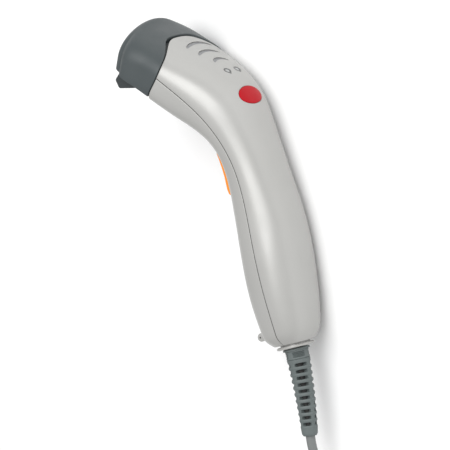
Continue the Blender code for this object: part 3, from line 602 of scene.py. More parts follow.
def cap_lip():
    """The hood's thin tongue under the edge of the shells, which closes the gap."""
    near = LIP_REACH - np.abs(from_cap_line(cap_table(0.0)))
    faces = [trimmed(cap_table(-WALL - depth), near, LIP_ROWS, LIP_EDGE) for depth in LIP_DEPTHS]
    return walled("hood_tongue", *faces, LIP_EDGE)


# ---------------- details of the shells

LED_ALONG = -20.8
LED_MIDDLE = 2.4
LED_SPACING = 4.7
LED_RADIUS = 1.6
LED_TAIL = 2.4
LED_WIDEN = 1.3
LED_BOTTOM = -1.6
BADGE_CENTRE = (-11.2, 133.6)
BADGE_TILT = 24.0
BADGE_HALF = (5.3, 9.6)
BADGE_SIDES = 64
BADGE_GAP = 0.25
BADGE_PROUD = 0.25
BADGE_SEAT = 0.9
TRIGGER_HALF = 8.4
TRIGGER_SLOT = (83.6, 110.6)
TRIGGER_SLOT_CORNER = 1.0
# Screw wells: how far up the handle each one stands, and how far out its foot, its seat and its top are.
SCREW_WELLS = {"lower": (46.0, 0.7, 8.0, 14.6), "upper": (124.0, 4.7, 11.0, 17.6)}
WELL_RADII = (1.6, 2.95, 4.2)
SCREW_HEAD = [(2.5, 0.0), (2.5, 0.7), (2.35, 1.1), (1.9, 1.4), (1.2, 1.58), (0.3, 1.62)]
THREAD_TURNS = 14
THREAD_LOW = -12.0
THREAD_PITCH = 0.84
CROSS = (1.2, 0.28)
LUG = (18.9, 7.9)
LUG_RADIUS = 2.3
LUG_HALF = 2.4
LUG_EDGE = 0.6
LUG_NECK = (5.5, 2.0)
# Grip crescents: where each one's tips are along the face, its middle across it, half its span, its rise.
CRESCENTS = ((4.0, 5.6, 12.6, 3.0), (-3.9, 4.0, 10.2, 2.9), (-12.4, 3.6, 7.0, 2.6))
CRESCENT_WIDTH = 2.3
CRESCENT_DEPTH = 0.8
CRESCENT_SEAT = (-0.42, -0.78)
HEAD_STATIONS = (8, 14)
FORM_THINNING = 4
SKIN_OUT = -27.0
SKIN_SPAN = 9.0
OUTLINE_STEPS = 28


def form_solid(name, offset, stations=HEAD_STATIONS):
    """A closed piece of the form, grown by offset, between two stations: for cutting pieces to its curve."""
    rings = form_rings(offset)[stations[0] * SPLINE_STEPS:stations[1] * SPLINE_STEPS + 1:FORM_THINNING]
    return loft(name, [points[:-1:FORM_THINNING] for points in rings])


def badge_place():
    turn = Matrix.Rotation(math.radians(BADGE_TILT - 90), 4, "Y")
    return frame_at(BADGE_CENTRE[0], 0, BADGE_CENTRE[1], turn)


def skin_cut(name, outline, place, depth):
    """An outline's prism that stops at a depth below the form's surface: a cutter for a shallow recess."""
    cutter = prism(name, outline, -SKIN_SPAN, SKIN_SPAN, place)
    return carve(cutter, "DIFFERENCE", form_solid("core", -depth))


def skin_plate(name, outline, place, top, bottom):
    """A thin plate that follows the form between two offsets from its surface."""
    plate = prism(name, outline, -SKIN_SPAN, SKIN_SPAN, place)
    carve(plate, "INTERSECT", form_solid("top", top))
    return carve(plate, "DIFFERENCE", form_solid("bottom", bottom))


def crescent(tips, middle, half, rise, slim=0.0):
    """A bow-shaped outline in the reading face's frame, thickest in its middle."""
    near, far = [], []
    for step in range(OUTLINE_STEPS + 1):
        share = 2 * step / OUTLINE_STEPS - 1
        bow = tips + rise * (1 - share * share)
        width = (CRESCENT_WIDTH - slim) / 2 * max(1 - share ** 4, 0.0) ** 0.5 + 0.02
        near.append((bow - width, middle + (half - slim) * share))
        far.append((bow + width, middle + (half - slim) * share))
    return near + far[::-1]


def drop(radius, tail):
    """A drop-shaped outline, larger than the lamp's by some radius and some tail, its point to the handle."""
    radius += LED_RADIUS
    tail += LED_TAIL
    reach = math.acos(radius / tail)
    turn = np.linspace(reach - math.pi, math.pi - reach, OUTLINE_STEPS)
    return [(radius * math.cos(a), LED_WIDEN * radius * math.sin(a)) for a in turn] + [(-tail, 0.0)]


def led_places():
    for side, name in ((-1, "left"), (1, "right")):
        yield name, face_place(LED_ALONG, LED_MIDDLE + side * LED_SPACING, SKIN_OUT)


def shell_rear():
    shell = half_shell("shell_rear", True)
    place = face_place(out=SKIN_OUT)
    cutters = [skin_cut("recess", crescent(*bow), place, CRESCENT_DEPTH) for bow in CRESCENTS]
    cutters.append(skin_cut("badge_seat", badge_outline(BADGE_GAP), badge_place(), BADGE_SEAT))
    cutters += [prism("led_hole", drop(0.4, 0.6), -SKIN_SPAN, SKIN_SPAN, place) for _, place in led_places()]
    return carve(shell, "DIFFERENCE", *cutters)


# The grey of these inlays is painted shade of the crescent grooves they sit in.
def crescent_shade_inlays():
    for number, bow in enumerate(CRESCENTS, 1):
        outline = crescent(*bow, slim=0.3)
        yield skin_plate(f"groove_shade_inlay_{number}", outline, face_place(out=SKIN_OUT), *CRESCENT_SEAT)


def badge_outline(gap=0.0):
    half_x, half_y = BADGE_HALF
    return [((half_x + gap) * x, (half_y + gap) * y) for x, y in circle(1.0, BADGE_SIDES)]


def badge():
    plate = skin_plate("badge_plate", badge_outline(), badge_place(), BADGE_PROUD, 0.05 - BADGE_SEAT)
    return bevelled(plate, 0.3, 3, 50)


def led_lenses():
    """Each lamp shows as a clear drop inside a dark ring, whose dark grey is painted shade of the gap round the
    lamp.
    """
    for name, place in led_places():
        shade_ring = skin_plate(f"led_shade_ring_{name}", drop(0.25, 0.4), place, 0.05, LED_BOTTOM)
        carve(shade_ring, "DIFFERENCE", prism("rim_hole", drop(-0.35, -0.75), -2 * SKIN_SPAN, 2 * SKIN_SPAN, place))
        yield name, shade_ring, skin_plate(f"led_drop_{name}", drop(-0.45, -0.9), place, -0.1, LED_BOTTOM)


def lug():
    """The rounded lug low on the front, with its small hole and the short neck that joins it to the shell."""
    x, z = LUG
    reach, high = LUG_NECK
    half = [(LUG_RADIUS - LUG_EDGE * (1 - math.sin(a)), -LUG_HALF + LUG_EDGE * (1 - math.cos(a)))
            for a in np.linspace(0, math.pi / 2, 6)]
    half += [(r, -z) for r, z in reversed(half)]
    post = turned("lug", half, along_y(x, 0, z))
    side = LUG_HALF - 0.1
    carve(post, "UNION", box_at("lug_neck", (x - reach, -side, z - high), (x, side, z + high), POSE))
    hole = bore("lug_hole", 0.5, -4.0, 4.0, along_y(x + 0.4, 0, z), 24)
    return carve(post, "DIFFERENCE", hole, form_solid("core", -WALL * 0.5, (0, 4)))


def shell_front():
    shell = half_shell("shell_front", False)
    swing = Matrix(((0, 0, 1), (0, 1, 0), (1, 0, 0))).to_4x4()
    slot = [(x, -y) for x, y in rounded_box(*TRIGGER_SLOT, TRIGGER_HALF + 0.5, TRIGGER_SLOT_CORNER)]
    cutters = [prism("trigger_slot", slot, 5.0, 40.0, POSE @ swing)]
    cutters += [bore("screw_well", 2.9, 8.0, 30.0, along_x(0, 0, well[0])) for well in SCREW_WELLS.values()]
    return carve(shell, "DIFFERENCE", *cutters)


def screw_wells():
    """The two tubes inside the front shell that hold the housing screws."""
    inner, wide, outer = WELL_RADII
    for name, (z, foot, seat, top) in SCREW_WELLS.items():
        profile = ((inner, foot), (outer, foot), (outer, top), (wide, top), (wide, seat), (inner, seat))
        rings = [[(r * x, r * y, level) for r, level in profile] for x, y in circle(1.0)]
        yield loft(f"screw_well_{name}", rings, along_x(0, 0, z), closed=True)


def housing_screws():
    """Pan-head screws with a cross recess, down in their wells."""
    thread = []
    for turn in range(THREAD_TURNS):
        low = THREAD_LOW + THREAD_PITCH * turn
        thread += [(0.9 if turn else 0.5, low), (1.2, low + 0.3), (1.2, low + 0.45), (0.9, low + 0.75)]
    for name, (z, _, seat, _) in SCREW_WELLS.items():
        place = along_x(seat + 0.4, 0, z)
        screw = turned(f"housing_screw_head_{name}", thread + SCREW_HEAD, place)
        cross = [box_at("cross", (-x, -y, 0.8), (x, y, 3.0), place) for x, y in (CROSS, CROSS[::-1])]
        yield name, carve(screw, "DIFFERENCE", *cross)


# ---------------- trigger

TRIGGER_OUTLINE = ((12.0, 84.8), (12.5, 85.6), (12.9, 88.0), (12.8, 91.5), (12.7, 95.0), (12.9, 99.0),
                   (13.4, 104.0), (13.9, 107.6), (13.8, 109.0), (13.2, 109.7), (8.8, 110.6), (8.2, 113.8),
                   (5.5, 115.6), (2.8, 113.8), (2.6, 110.6), (4.5, 107.0), (4.5, 84.8))
TRIGGER_GRIPS = (89.5, 92.0, 94.5, 97.0, 99.5)
SPRING_Z = 101.5
UPRIGHT = Matrix(((1, 0, 0), (0, 0, -1), (0, 1, 0))).to_4x4()


def trigger():
    """The bar trigger, with rounded edges, five fine grip lines and a shallow seat for its spring."""
    outline = [(x - PIVOT[0], z - PIVOT[2]) for x, z in TRIGGER_OUTLINE]
    bar = prism("trigger_bar", outline, -TRIGGER_HALF, TRIGGER_HALF, frame_at(*PIVOT, UPRIGHT))
    bevelled(bar, 0.7, 4, 35)
    cutters = [bore("trigger_bore", 1.35, -14, 14, along_y(*PIVOT), 32),
               bore("spring_seat", 2.9, -2.0, 0.5, along_x(4.5, 0, SPRING_Z), 32)]
    cutters += [bore("grip_line", 0.45, -6.0, 6.0, along_y(12.98, 0, z), 16) for z in TRIGGER_GRIPS]
    return carve(bar, "DIFFERENCE", *cutters)


# ---------------- reading face

BEZEL_GAP = 0.3
BEZEL_LOW = 0.8
BEZEL_BACK = -5.0
BEZEL_TOP = -0.4
BEAK_OUTLINE = ((6.0, -1.6), (7.2, -0.5), (11.4, 3.1), (18.2, 8.1), (18.9, 8.3), (19.6, 8.1), (22.6, 6.4),
                (23.1, 5.9), (23.2, 5.2), (22.9, 0.9), (22.9, -1.6))
BEAK_HALF = 26.4
WINDOW = (4.9, 16.9, 21.3)
WINDOW_TOP = -0.9
WINDOW_THICK = 1.6


def mouth_outline():
    """The cap's mouth in the reading face's frame, a little smaller, closed by a straight lower edge."""
    grid = cap_grid(-WALL - BEZEL_GAP)
    edge = np.concatenate((grid[:, 0], grid[-1, 1:-1], grid[::-1, -1]))
    outline = [((p - FACE_POINT) @ FACE_ALONG, (p - FACE_POINT) @ FACE_ACROSS) for p in edge]
    return [(x, y) for x, y in outline if x > BEZEL_LOW][::2]


def window_outline(gap, corner):
    low, high, half = WINDOW
    return rounded_box(low - gap, high + gap, half + gap, corner)


def bezel():
    """The plate that fills the cap's mouth, with the beak that stands out at the nose."""
    plate = bevelled(prism("face_plate", mouth_outline(), BEZEL_BACK, BEZEL_TOP, face_place()), 0.35, 2, 50)
    beak = bevelled(prism("beak", BEAK_OUTLINE, -BEAK_HALF, BEAK_HALF, face_place() @ UPRIGHT), 0.5, 3, 25)
    carve(plate, "UNION", beak)
    cutters = [prism(name, window_outline(gap, corner), low, 20.0, face_place())
               for name, gap, corner, low in (("pocket", 0.4, 2.0, -2.7), ("opening", -1.4, 1.2, -8.0))]
    return carve(plate, "DIFFERENCE", *cutters)


def window():
    low = WINDOW_TOP - WINDOW_THICK
    pane = prism("window_pane", window_outline(0.0, 1.6), low, WINDOW_TOP, face_place())
    return bevelled(pane, 0.25, 2, 50)


# ---------------- base and strain relief

COLLAR_LOW = -1.1
SPIGOT_TOP = 3.0
COLLAR_HOLE = 3.9
BOOT_X = 0.2
BOOT_END = -48.2
BOOT_DRIFT = 4.8
BOOT_SLOTS = 10
BOOT_PITCH = 3.5
BOOT_FIRST = -10.3
BOOT_TWIST = (-49.0, -69.5)
BOOT_POWER = 2.4
BOOT_PROFILE = ((-1.5, 7.15), (-2.6, 7.15), (-2.7, 6.35), (-10.4, 6.2), (-28.0, 5.4), (-44.0, 4.4),
                (-47.2, 4.1), (BOOT_END, 3.5))
SLOT_HALF = 0.9
SLOT_REACH = 31.0
SLOT_FLOOR = 0.36
RIB_BAND = (-3.3, -6.4)
RIB_COUNT = 4
RIB_DEPTH = 0.6
BOOT_GROOVE = -7.3
BOOT_GROOVE_DEPTH = 0.35
BOOT_TOP_ROUND = -1.9
BOOT_WAIST = 0.22
# Heights where the boot has a cross-section: its top edge, round its groove, at its end, and round each slot.
BOOT_TOP_LEVELS = [-1.5, -1.6, -1.8, -2.3, -2.5, -2.6, -2.7, -2.95]
GROOVE_STEPS = (0.5, 0.25, 0.0, -0.25, -0.6)
BOOT_END_LEVELS = [-45.2, -46.4, -47.0, -47.5, -47.9, BOOT_END]
SLOT_STEPS = (1.0, 0.92, 0.85, 0.75, 0.0, -0.75, -0.85, -0.92, -1.0, -1.35, -1.75, -2.15)
# Directions of the points in each quarter of a cross-section (degrees from the middle of that side).
QUARTER_TURNS = (-45, -40, -35, -32, -31, -28, -22, -15, -7, 0, 7, 15, 22, 28, 31, 32, 35, 40)
# Painted shade for the boot's slots: the black core's ends and its share of the boot's radius.
SLOT_SHADE_ENDS = (-8.5, -45.0)
SLOT_SHADE_SHARE = 0.55


def collar():
    """The thin plate that closes the base: a rounded flange below and a spigot inside the shells."""
    spigot = -WALL - 0.4
    levels = ((0.0, -1.4), (0.1, -1.0), (0.35, -0.7), (0.65, -0.6), (0.95, -0.65), (1.15, -0.85), (1.2, -1.1),
              (1.5, -1.2), (1.5, spigot), (SPIGOT_TOP - COLLAR_LOW, spigot))
    rings = []
    for level, offset in levels:
        points = ring(STATIONS[0], offset)[:-1:4]
        points[:, 2] = COLLAR_LOW + level
        rings.append(points)
    plate = loft("base_flange", rings)
    return carve(plate, "DIFFERENCE", bore("collar_hole", COLLAR_HOLE, -4.0, 8.0, frame_at(BOOT_X, 0, 0)))


def boot_levels():
    """The heights of the boot's cross-sections, from top to bottom."""
    levels = BOOT_TOP_LEVELS + list(np.linspace(*RIB_BAND, RIB_COUNT * 8 + 1))
    levels += [BOOT_GROOVE + step for step in GROOVE_STEPS]
    levels += [BOOT_FIRST - BOOT_PITCH * number + step for number in range(BOOT_SLOTS) for step in SLOT_STEPS]
    return levels + BOOT_END_LEVELS


def boot_profile(level):
    return float(np.interp(-level, [-z for z, _ in BOOT_PROFILE], [r for _, r in BOOT_PROFILE]))


def boot_radius(level, away):
    """The boot's radius at a height, in a direction away (degrees) from the middle of its nearest side."""
    radius = boot_profile(level)
    turn = math.radians(away)
    squareness = abs(math.cos(turn)) ** BOOT_POWER + abs(math.sin(turn)) ** BOOT_POWER
    outer = radius / squareness ** (1 / BOOT_POWER)
    if level > BOOT_TOP_ROUND:
        outer -= 2.0 * (level - BOOT_TOP_ROUND) ** 2
    if RIB_BAND[1] < level < RIB_BAND[0] and abs(away) < SLOT_REACH:
        share = (RIB_BAND[0] - level) / (RIB_BAND[0] - RIB_BAND[1])
        outer -= RIB_DEPTH * (0.5 - 0.5 * math.cos(2 * math.pi * RIB_COUNT * share))
    if abs(level - BOOT_GROOVE) < 0.05:
        outer -= BOOT_GROOVE_DEPTH
    number = round((BOOT_FIRST - level) / BOOT_PITCH)
    if 0 <= number < BOOT_SLOTS:
        off = abs(level - (BOOT_FIRST - BOOT_PITCH * number))
        outer -= BOOT_WAIST * smooth_step(1 - (off - SLOT_HALF) / 0.6)
        if abs(away) <= SLOT_REACH and off < SLOT_HALF * math.sqrt(1 - (away / SLOT_REACH) ** 4) + 0.01:
            outer = min(outer, SLOT_FLOOR * radius / math.cos(turn))
    return outer


def boot_middle(level):
    """The strain relief bends a little forward: its middle and its slope follow a power of the depth."""
    share = max(-level, 0.0) / -BOOT_END
    return BOOT_X + BOOT_DRIFT * share ** 1.7, 1.7 * BOOT_DRIFT * share ** 0.7 / -BOOT_END


def boot_ring(level):
    x, slope = boot_middle(level)
    done = min(max((BOOT_FIRST - level) / ((BOOT_SLOTS - 1) * BOOT_PITCH), 0.0), 1.0)
    twist = BOOT_TWIST[0] + (BOOT_TWIST[1] - BOOT_TWIST[0]) * done
    points = []
    for quarter in range(4):
        for away in QUARTER_TURNS:
            radius = boot_radius(level, away)
            turn = math.radians(90 * quarter + away + twist)
            out = radius * math.cos(turn)
            points.append((x + out, radius * math.sin(turn), level + out * slope))
    return points


def boot():
    return loft("boot", [boot_ring(level) for level in boot_levels()])


def painted_slot_shade():
    """The black core round the cord that shows in the boot's slots: painted shade, darker than the cord itself."""
    rings = []
    for level in np.linspace(*SLOT_SHADE_ENDS, 40):
        x, slope = boot_middle(level)
        section = circle(SLOT_SHADE_SHARE * boot_profile(level), 32)
        rings.append([(x + out, y, level + out * slope) for out, y in section])
    return loft("boot_slot_shade", rings)


# ---------------- tie and plug

STRAP_HALF = (8.05, 7.95)
STRAP_CORNER = 2.4
STRAP_WIDTH = 8.0
STRAP_THICK = 0.9


def tie():
    """The strap round the coil's bundle: a band with rounded edges that follows a rounded box."""
    half_x, half_z = STRAP_HALF
    outline = np.array(rounded_box(-half_x, half_x, half_z, STRAP_CORNER, 7))
    outline[:, 0] += (COIL_RADII["O"] + COIL_RADII["I"]) / 2
    ahead = np.roll(outline, -1, axis=0) - np.roll(outline, 1, axis=0)
    out = np.stack((ahead[:, 1], -ahead[:, 0]), axis=1)
    out /= np.linalg.norm(out, axis=1, keepdims=True)
    edge = STRAP_THICK / 2
    shift = STRAP_WIDTH / 2 - edge
    profile = []
    for side, start in ((-shift, -math.pi / 2), (shift, math.pi / 2)):
        turn = np.linspace(start, start + math.pi, 7)
        profile += [(edge * math.sin(a), side - edge * math.cos(a)) for a in turn]
    rings = [[(x + out_x * away, y, z + out_z * away) for away, y in profile]
             for (x, z), (out_x, out_z) in zip(outline, out)]
    turn = Matrix.Rotation(math.radians(TIE_ANGLE), 4, "Z")
    place = Matrix.Translation(Vector((*COIL_CENTRE, COIL_LEVELS["2"])) * MM) @ turn
    return loft("strap", rings, place, closed=True)


PLUG_FRAME = Matrix.Translation(Vector(PLUG_PLACE) * MM) @ Matrix.Rotation(math.radians(PLUG_TURN), 4, "Z")
PLUG_SIDES = 48
NECK_RIBS = 4
# Plug body: x, half width, half height and exponent of the sections of its block.
PLUG_BLOCK = ((7.6, 4.2, 3.5, 2.6), (8.6, 5.4, 3.75, 3.0), (9.8, 6.7, 3.95, 3.6), (11.4, 7.5, 4.05, 4.2),
              (13.4, 7.9, 4.1, 4.8), (28.6, 7.9, 4.1, 4.8), (29.4, 7.7, 3.95, 4.8), (29.9, 7.3, 3.6, 4.8),
              (30.0, 6.9, 3.3, 4.8))
GRIP_LINES = (15.5, 17.7, 19.9, 22.1, 24.3)
SLEEVE = (30.4, 42.4)
SLEEVE_HALF = (6.0, 2.25)


def plug_section(x, half, high, power):
    points = []
    for side in range(PLUG_SIDES):
        turn = 2 * math.pi * side / PLUG_SIDES
        c, s = math.cos(turn), math.sin(turn)
        points.append((x, half * math.copysign(abs(c) ** (2 / power), c),
                       high * math.copysign(abs(s) ** (2 / power), s)))
    return points


def plug_body():
    """The moulded plug: a ribbed neck that widens to a rounded block with a grip on each face."""
    rings = [plug_section(0.3, 2.9, 2.8, 2.4)]
    for number in range(NECK_RIBS):
        start = 0.6 + 1.7 * number
        size = 3.3 + 0.18 * number
        for step, sink in ((0.0, 0.0), (0.8, 0.0), (1.0, 0.5), (1.5, 0.5)):
            rings.append(plug_section(start + step, size - sink, size - sink - 0.15, 2.4))
    rings += [plug_section(*row) for row in PLUG_BLOCK]
    body = loft("plug_grip", rings, PLUG_FRAME)
    cutters = [box_at("plug_groove", (x, -4.6, low), (x + 0.8, 4.6, low + 0.9), PLUG_FRAME)
               for x in GRIP_LINES for low in (-4.6, 3.7)]
    return carve(body, "DIFFERENCE", *cutters)


def plug_shell():
    """The folded metal shell, with the four latch windows of a standard plug and a seam underneath."""
    half, high = SLEEVE_HALF
    thick = 0.32
    place = PLUG_FRAME @ Matrix(((0, 0, 1), (1, 0, 0), (0, 1, 0))).to_4x4()
    shell = prism("plug_sleeve", rounded_box(-half, half, high, 0.6, 4), *SLEEVE, place)
    hollow = rounded_box(thick - half, half - thick, high - thick, 0.35, 4)
    cutters = [prism("hollow", hollow, SLEEVE[0] + 0.6, 45.0, place),
               box_at("seam", (SLEEVE[0] + 0.6, -0.08, -3.0), (45.0, 0.08, -1.5), PLUG_FRAME)]
    cutters += [box_at("latch", (35.4, y - 1.2, low), (37.4, y + 1.2, low + 1.5), PLUG_FRAME)
                for low in (-3.0, 1.5) for y in (-2.5, 2.5)]
    return carve(shell, "DIFFERENCE", *cutters)


def plug_tongue():
    """The insulating tongue."""
    tongue = box_at("plug_insert", (31.8, -5.2, -1.5), (41.8, 5.2, 0.3), PLUG_FRAME)
    return bevelled(tongue, 0.2, 2, 50)


def plug_contacts():
    """Four gold strips, set into the tongue's upper face."""
    for number in range(4):
        y = -3.6 + 2.4 * number
        low, high = (33.0, y - 0.5, 0.32), (41.2, y + 0.5, 0.5)
        yield bevelled(box_at(f"plug_contact_{number + 1}", low, high, PLUG_FRAME), 0.06, 1, 50)


# ---------------- floor and light

FLOOR_HALF = 3.0
FLOOR_SHADE = 0.95
WORLD_LIGHT = 0.68
# Each light's place along the camera's right, up and back (metres), its width and its radiance.
LIGHTS = {"front_light": ((-0.55, 0.35, 1.2), 1.2, 3.6), "right_light": ((1.1, 0.5, 0.6), 0.8, 0.6)}


def floor():
    mesh = bpy.data.meshes.new("floor")
    corners = [(x * FLOOR_HALF, y * FLOOR_HALF, 0) for x, y in ((-1, -1), (1, -1), (1, 1), (-1, 1))]
    mesh.from_pydata(corners, [], [(0, 1, 2, 3)])
    made = placed("floor", mesh)
    skin = bpy.data.materials.new("floor")
    skin.use_nodes = True
    shader = skin.node_tree.nodes["Principled BSDF"]
    shader.inputs["Base Color"].default_value = (*grey(FLOOR_SHADE), 1)
    shader.inputs["Roughness"].default_value = 0.9
    mesh.materials.append(skin)
    made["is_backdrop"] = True


def soft_box(name, place, size, radiance):
    """A square light, aimed at the scanner."""
    data = bpy.data.lights.new(name, "AREA")
    data.shape = "SQUARE"
    data.size = size
    data.energy = radiance * math.pi * size * size
    made = placed(name, data)
    axes = bpy.context.scene.camera.matrix_world.to_3x3()
    made.location = axes @ Vector(place)
    made.rotation_euler = (-made.location).to_track_quat("-Z", "Y").to_euler()


def studio():
    """An even white tent with one broad light beside the camera and one to its right."""
    world = bpy.data.worlds.new("studio")
    world.use_nodes = True
    backdrop = world.node_tree.nodes["Background"]
    backdrop.inputs["Color"].default_value = (1, 1, 1, 1)
    backdrop.inputs["Strength"].default_value = WORLD_LIGHT
    bpy.context.scene.world = world
    bpy.context.scene.view_settings.view_transform = "Standard"
    floor()
    for name, light in LIGHTS.items():
        soft_box(name, *light)


# ---------------- materials

def noise(nodes, scale, detail=3.0, stretch=None):
    """A noise in the object's own coordinates, with its pattern scale per metre."""
    tree = nodes.nodes
    where = tree.new("ShaderNodeTexCoord")
    source = where.outputs["Object"]
    if stretch:
        mapping = tree.new("ShaderNodeMapping")
        mapping.inputs["Scale"].default_value = stretch
        nodes.links.new(source, mapping.inputs["Vector"])
        source = mapping.outputs["Vector"]
    made = tree.new("ShaderNodeTexNoise")
    made.inputs["Scale"].default_value = scale
    made.inputs["Detail"].default_value = detail
    nodes.links.new(source, made.inputs["Vector"])
    return made.outputs["Fac"]


def ranged(nodes, value, low, high):
    """The noise's middle band spread between two values."""
    made = nodes.nodes.new("ShaderNodeMapRange")
    for socket, limit in (("From Min", 0.3), ("From Max", 0.7), ("To Min", low), ("To Max", high)):
        made.inputs[socket].default_value = limit
    nodes.links.new(value, made.inputs["Value"])
    return made.outputs["Result"]


SOCKETS = {"metallic": "Metallic", "coat": "Coat Weight", "subsurface": "Subsurface Weight",
           "transmission": "Transmission Weight", "ior": "IOR", "sheen": "Sheen Weight"}
COAT_ROUGHNESS = 0.25
GRAIN_STRENGTH = 0.6


def finish(name, colour, second, roughness, mottle=60.0, grain=1500.0, height=0.02, stretch=None, **others):
    """A procedural material: two close colours mottled together, uneven roughness and a fine grain."""
    made = bpy.data.materials.new(name)
    made.use_nodes = True
    nodes = made.node_tree
    shader = nodes.nodes["Principled BSDF"]
    mix = nodes.nodes.new("ShaderNodeMix")
    mix.data_type = "RGBA"
    mix.inputs["A"].default_value = (*colour, 1)
    mix.inputs["B"].default_value = (*second, 1)
    bump = nodes.nodes.new("ShaderNodeBump")
    bump.inputs["Strength"].default_value = GRAIN_STRENGTH
    bump.inputs["Distance"].default_value = height * MM
    for source, target in ((ranged(nodes, noise(nodes, mottle), 0.0, 1.0), mix.inputs["Factor"]),
                           (mix.outputs["Result"], shader.inputs["Base Color"]),
                           (ranged(nodes, noise(nodes, mottle * 3), *roughness), shader.inputs["Roughness"]),
                           (noise(nodes, grain, 2.0, stretch), bump.inputs["Height"]),
                           (bump.outputs["Normal"], shader.inputs["Normal"])):
        nodes.links.new(source, target)
    shader.inputs["Coat Roughness"].default_value = COAT_ROUGHNESS
    shader.inputs["Subsurface Radius"].default_value = (0.004, 0.002, 0.001)
    for key, value in {"ior": 1.5, **others}.items():
        shader.inputs[SOCKETS[key]].default_value = value
    return made


def grey(value):
    return (value, value, value)


SKINS = {
    "shell": finish("pearl_shell", (0.395, 0.393, 0.378), (0.415, 0.413, 0.4), (0.34, 0.42), 25, 1400, 0.015,
                    metallic=0.25, coat=0.12),
    "inner": finish("shell_inner", (0.42, 0.41, 0.39), (0.46, 0.45, 0.43), (0.5, 0.6)),
    "cap": finish("cap_slate", (0.046, 0.057, 0.06), (0.054, 0.065, 0.068), (0.42, 0.52), 40, 1100, 0.05),
    "bezel": finish("bezel_slate", (0.026, 0.032, 0.034), (0.031, 0.038, 0.04), (0.42, 0.52), 40, 1100, 0.05),
    "boot": finish("boot_rubber", (0.102, 0.122, 0.121), (0.12, 0.14, 0.139), (0.55, 0.68), 80, 1600, 0.04),
    "jacket": finish("cord_jacket", (0.16, 0.17, 0.168), (0.185, 0.195, 0.193), (0.42, 0.54), 50, 1300, 0.03),
    "trigger": finish("amber_trigger", (0.84, 0.26, 0.014), (0.88, 0.29, 0.02), (0.16, 0.24), 60, 900, 0.01,
                      subsurface=0.25, coat=0.2),
    "badge": finish("badge_enamel", (0.4, 0.0, 0.006), (0.44, 0.002, 0.01), (0.34, 0.42), 90, 900, 0.01,
                    ior=1.25),
    # The crescent inlays' grey is painted shade of the grooves.
    "grip": finish("groove_shade_inlay", (0.215, 0.218, 0.225), (0.235, 0.238, 0.245), (0.5, 0.6), 90, 1600, 0.03),
    # The ring round each lamp: its dark grey is painted shade of the gap there.
    "shade_ring": finish("led_shade_ring", (0.1, 0.104, 0.104), (0.12, 0.124, 0.124), (0.3, 0.4), 200, 1600, 0.02),
    "lens": finish("led_lens", (0.33, 0.34, 0.335), (0.365, 0.375, 0.37), (0.1, 0.18), 200, 900, 0.01,
                   coat=0.5),
    "window": finish("window_acrylic", (0.03, 0.006, 0.006), (0.04, 0.009, 0.009), (0.04, 0.09), 30, 600,
                     0.004, coat=0.5),
    "foam": finish("gasket_foam", grey(0.02), grey(0.035), (0.8, 0.95), 600, 2500, 0.15),
    "black": finish("black_moulding", grey(0.018), grey(0.026), (0.38, 0.52), 120, 1600, 0.03),
    "chip": finish("chip_resin", grey(0.012), grey(0.018), (0.5, 0.62), 300, 2600),
    "strap": finish("strap_webbing", grey(0.016), grey(0.03), (0.75, 0.9), 900, 2600, 0.12, sheen=0.4),
    "board": finish("solder_mask", (0.01, 0.115, 0.045), (0.02, 0.175, 0.07), (0.22, 0.34), 260, 900, 0.03,
                    (1, 1, 3)),
    "copper": finish("enamelled_copper", (0.7, 0.3, 0.12), (0.58, 0.22, 0.08), (0.25, 0.38), 400, 2200, 0.05,
                     (1, 6, 6), metallic=1.0, coat=0.3),
    "steel": finish("bright_steel", grey(0.58), grey(0.66), (0.22, 0.36), 150, 2200, 0.02, (8, 1, 1),
                    metallic=1.0),
    "gold": finish("gold_contact", (0.83, 0.6, 0.22), (0.88, 0.66, 0.28), (0.2, 0.3), 300, 1800, 0.01,
                   metallic=1.0),
    "lamp": finish("lamp_epoxy", (0.86, 0.82, 0.52), (0.92, 0.88, 0.62), (0.12, 0.2), 200, 900, 0.01,
                   coat=0.4),
    "ribbon": finish("flat_cable", (0.66, 0.63, 0.52), (0.74, 0.71, 0.6), (0.38, 0.5), 300, 1800, 0.03,
                     (1, 9, 1)),
    "plunger": finish("plunger_red", (0.6, 0.08, 0.04), (0.7, 0.11, 0.06), (0.3, 0.4), 300, 1400),
    "clear": finish("clear_polycarbonate", (0.52, 0.54, 0.54), (0.58, 0.6, 0.6), (0.1, 0.2), 150, 900, 0.01,
                    transmission=0.3, ior=1.58),
    "tongue": finish("plug_insert", (0.8, 0.8, 0.78), (0.86, 0.86, 0.84), (0.35, 0.45), 200, 1500),
}


def dress(obj, skin, slot):
    obj.data.materials.clear()
    obj.data.materials.append(SKINS[skin])


def piece(obj, skin, slot, *nodes, body="housing"):
    """One finished piece: its material, the body it rides on and the CAD nodes it stands for."""
    dress(obj, skin, slot)
    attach(obj, body)
    if nodes:
        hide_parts(*nodes)
    return obj


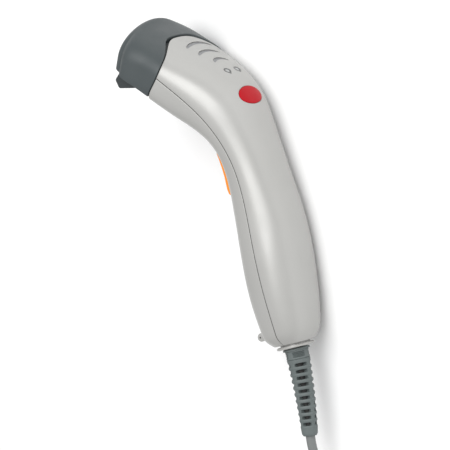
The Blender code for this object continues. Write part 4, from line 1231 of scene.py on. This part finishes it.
# The CAD's own inner pieces, by the finish that each one gets.
CAD_SKINS = {
    "foam": "window_gasket",
    "black": "antenna_bobbin buzzer trigger_switch cable_socket",
    "copper": "antenna_coil antenna_lead_left antenna_lead_right",
    "board": "reader_board main_board",
    "chip": "reader_chip controller_chip",
    "steel": "head_board_screw board_screw_1 board_screw_2 trigger_pin trigger_spring",
    "lamp": "status_led_left status_led_right",
    "ribbon": "board_ribbon",
    "plunger": "switch_plunger",
    "clear": "cable_plug",
}


def dress_cad():
    slots = {part["node"]: part["material_slot"] for part in frame["record"]["subparts"]}
    for skin, nodes in CAD_SKINS.items():
        for node in nodes.split():
            dress(frame["nodes"][node], skin, slots[node])


# ---------------- the whole

camera()
PLUG = [piece(plug_body(), "boot", "boot_rubber", "usb_plug_body"),
        piece(plug_shell(), "steel", "steel", "usb_plug_shell"),
        piece(plug_tongue(), "tongue", "tongue", "usb_plug_tongue"),
        piece(tie(), "strap", "black_plastic", "coil_tie")]
PLUG += [piece(strip, "gold", "copper") for strip in plug_contacts()]
LEAD = piece(lead(), "jacket", "cord_jacket", "cord_lead", "cord_coil", "cord_tail")
tuple(c * MM for c in LEAD_ROUTE[0])

piece(shell_rear(), "shell", "light_plastic", "rear_shell")
piece(shell_front(), "shell", "light_plastic", "front_shell")
piece(lug(), "shell", "light_plastic")
for well in screw_wells():
    piece(well, "inner", "light_plastic")
piece(head_cap(), "cap", "dark_plastic", "head_cap")
piece(cap_lip(), "bezel", "dark_plastic")
piece(bezel(), "bezel", "dark_plastic", "face_bezel")
piece(window(), "window", "window", "face_window")
# Inlays whose grey paints the shade in the crescent grooves.
for inlay in crescent_shade_inlays():
    piece(inlay, "grip", "dark_plastic")
for side, shade_ring, lens in led_lenses():
    # Painted shade of the gap round each lamp.
    piece(shade_ring, "shade_ring", "led_lens")
    piece(lens, "lens", "led_lens", "led_lens_" + side)
piece(badge(), "badge", "badge_red", "badge")
piece(trigger(), "trigger", "trigger_orange", "trigger", body="trigger")
for side, screw in housing_screws():
    piece(screw, "steel", "steel", "housing_screw_" + side)
piece(collar(), "shell", "light_plastic", "base_collar")
piece(boot(), "boot", "boot_rubber", "strain_relief")
# The core's black is painted shade inside the boot's slots.
piece(painted_slot_shade(), "chip", "black_plastic")
dress_cad()
studio()

[[list(corner) for corner in box] for box in (CAD_BOX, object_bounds())]
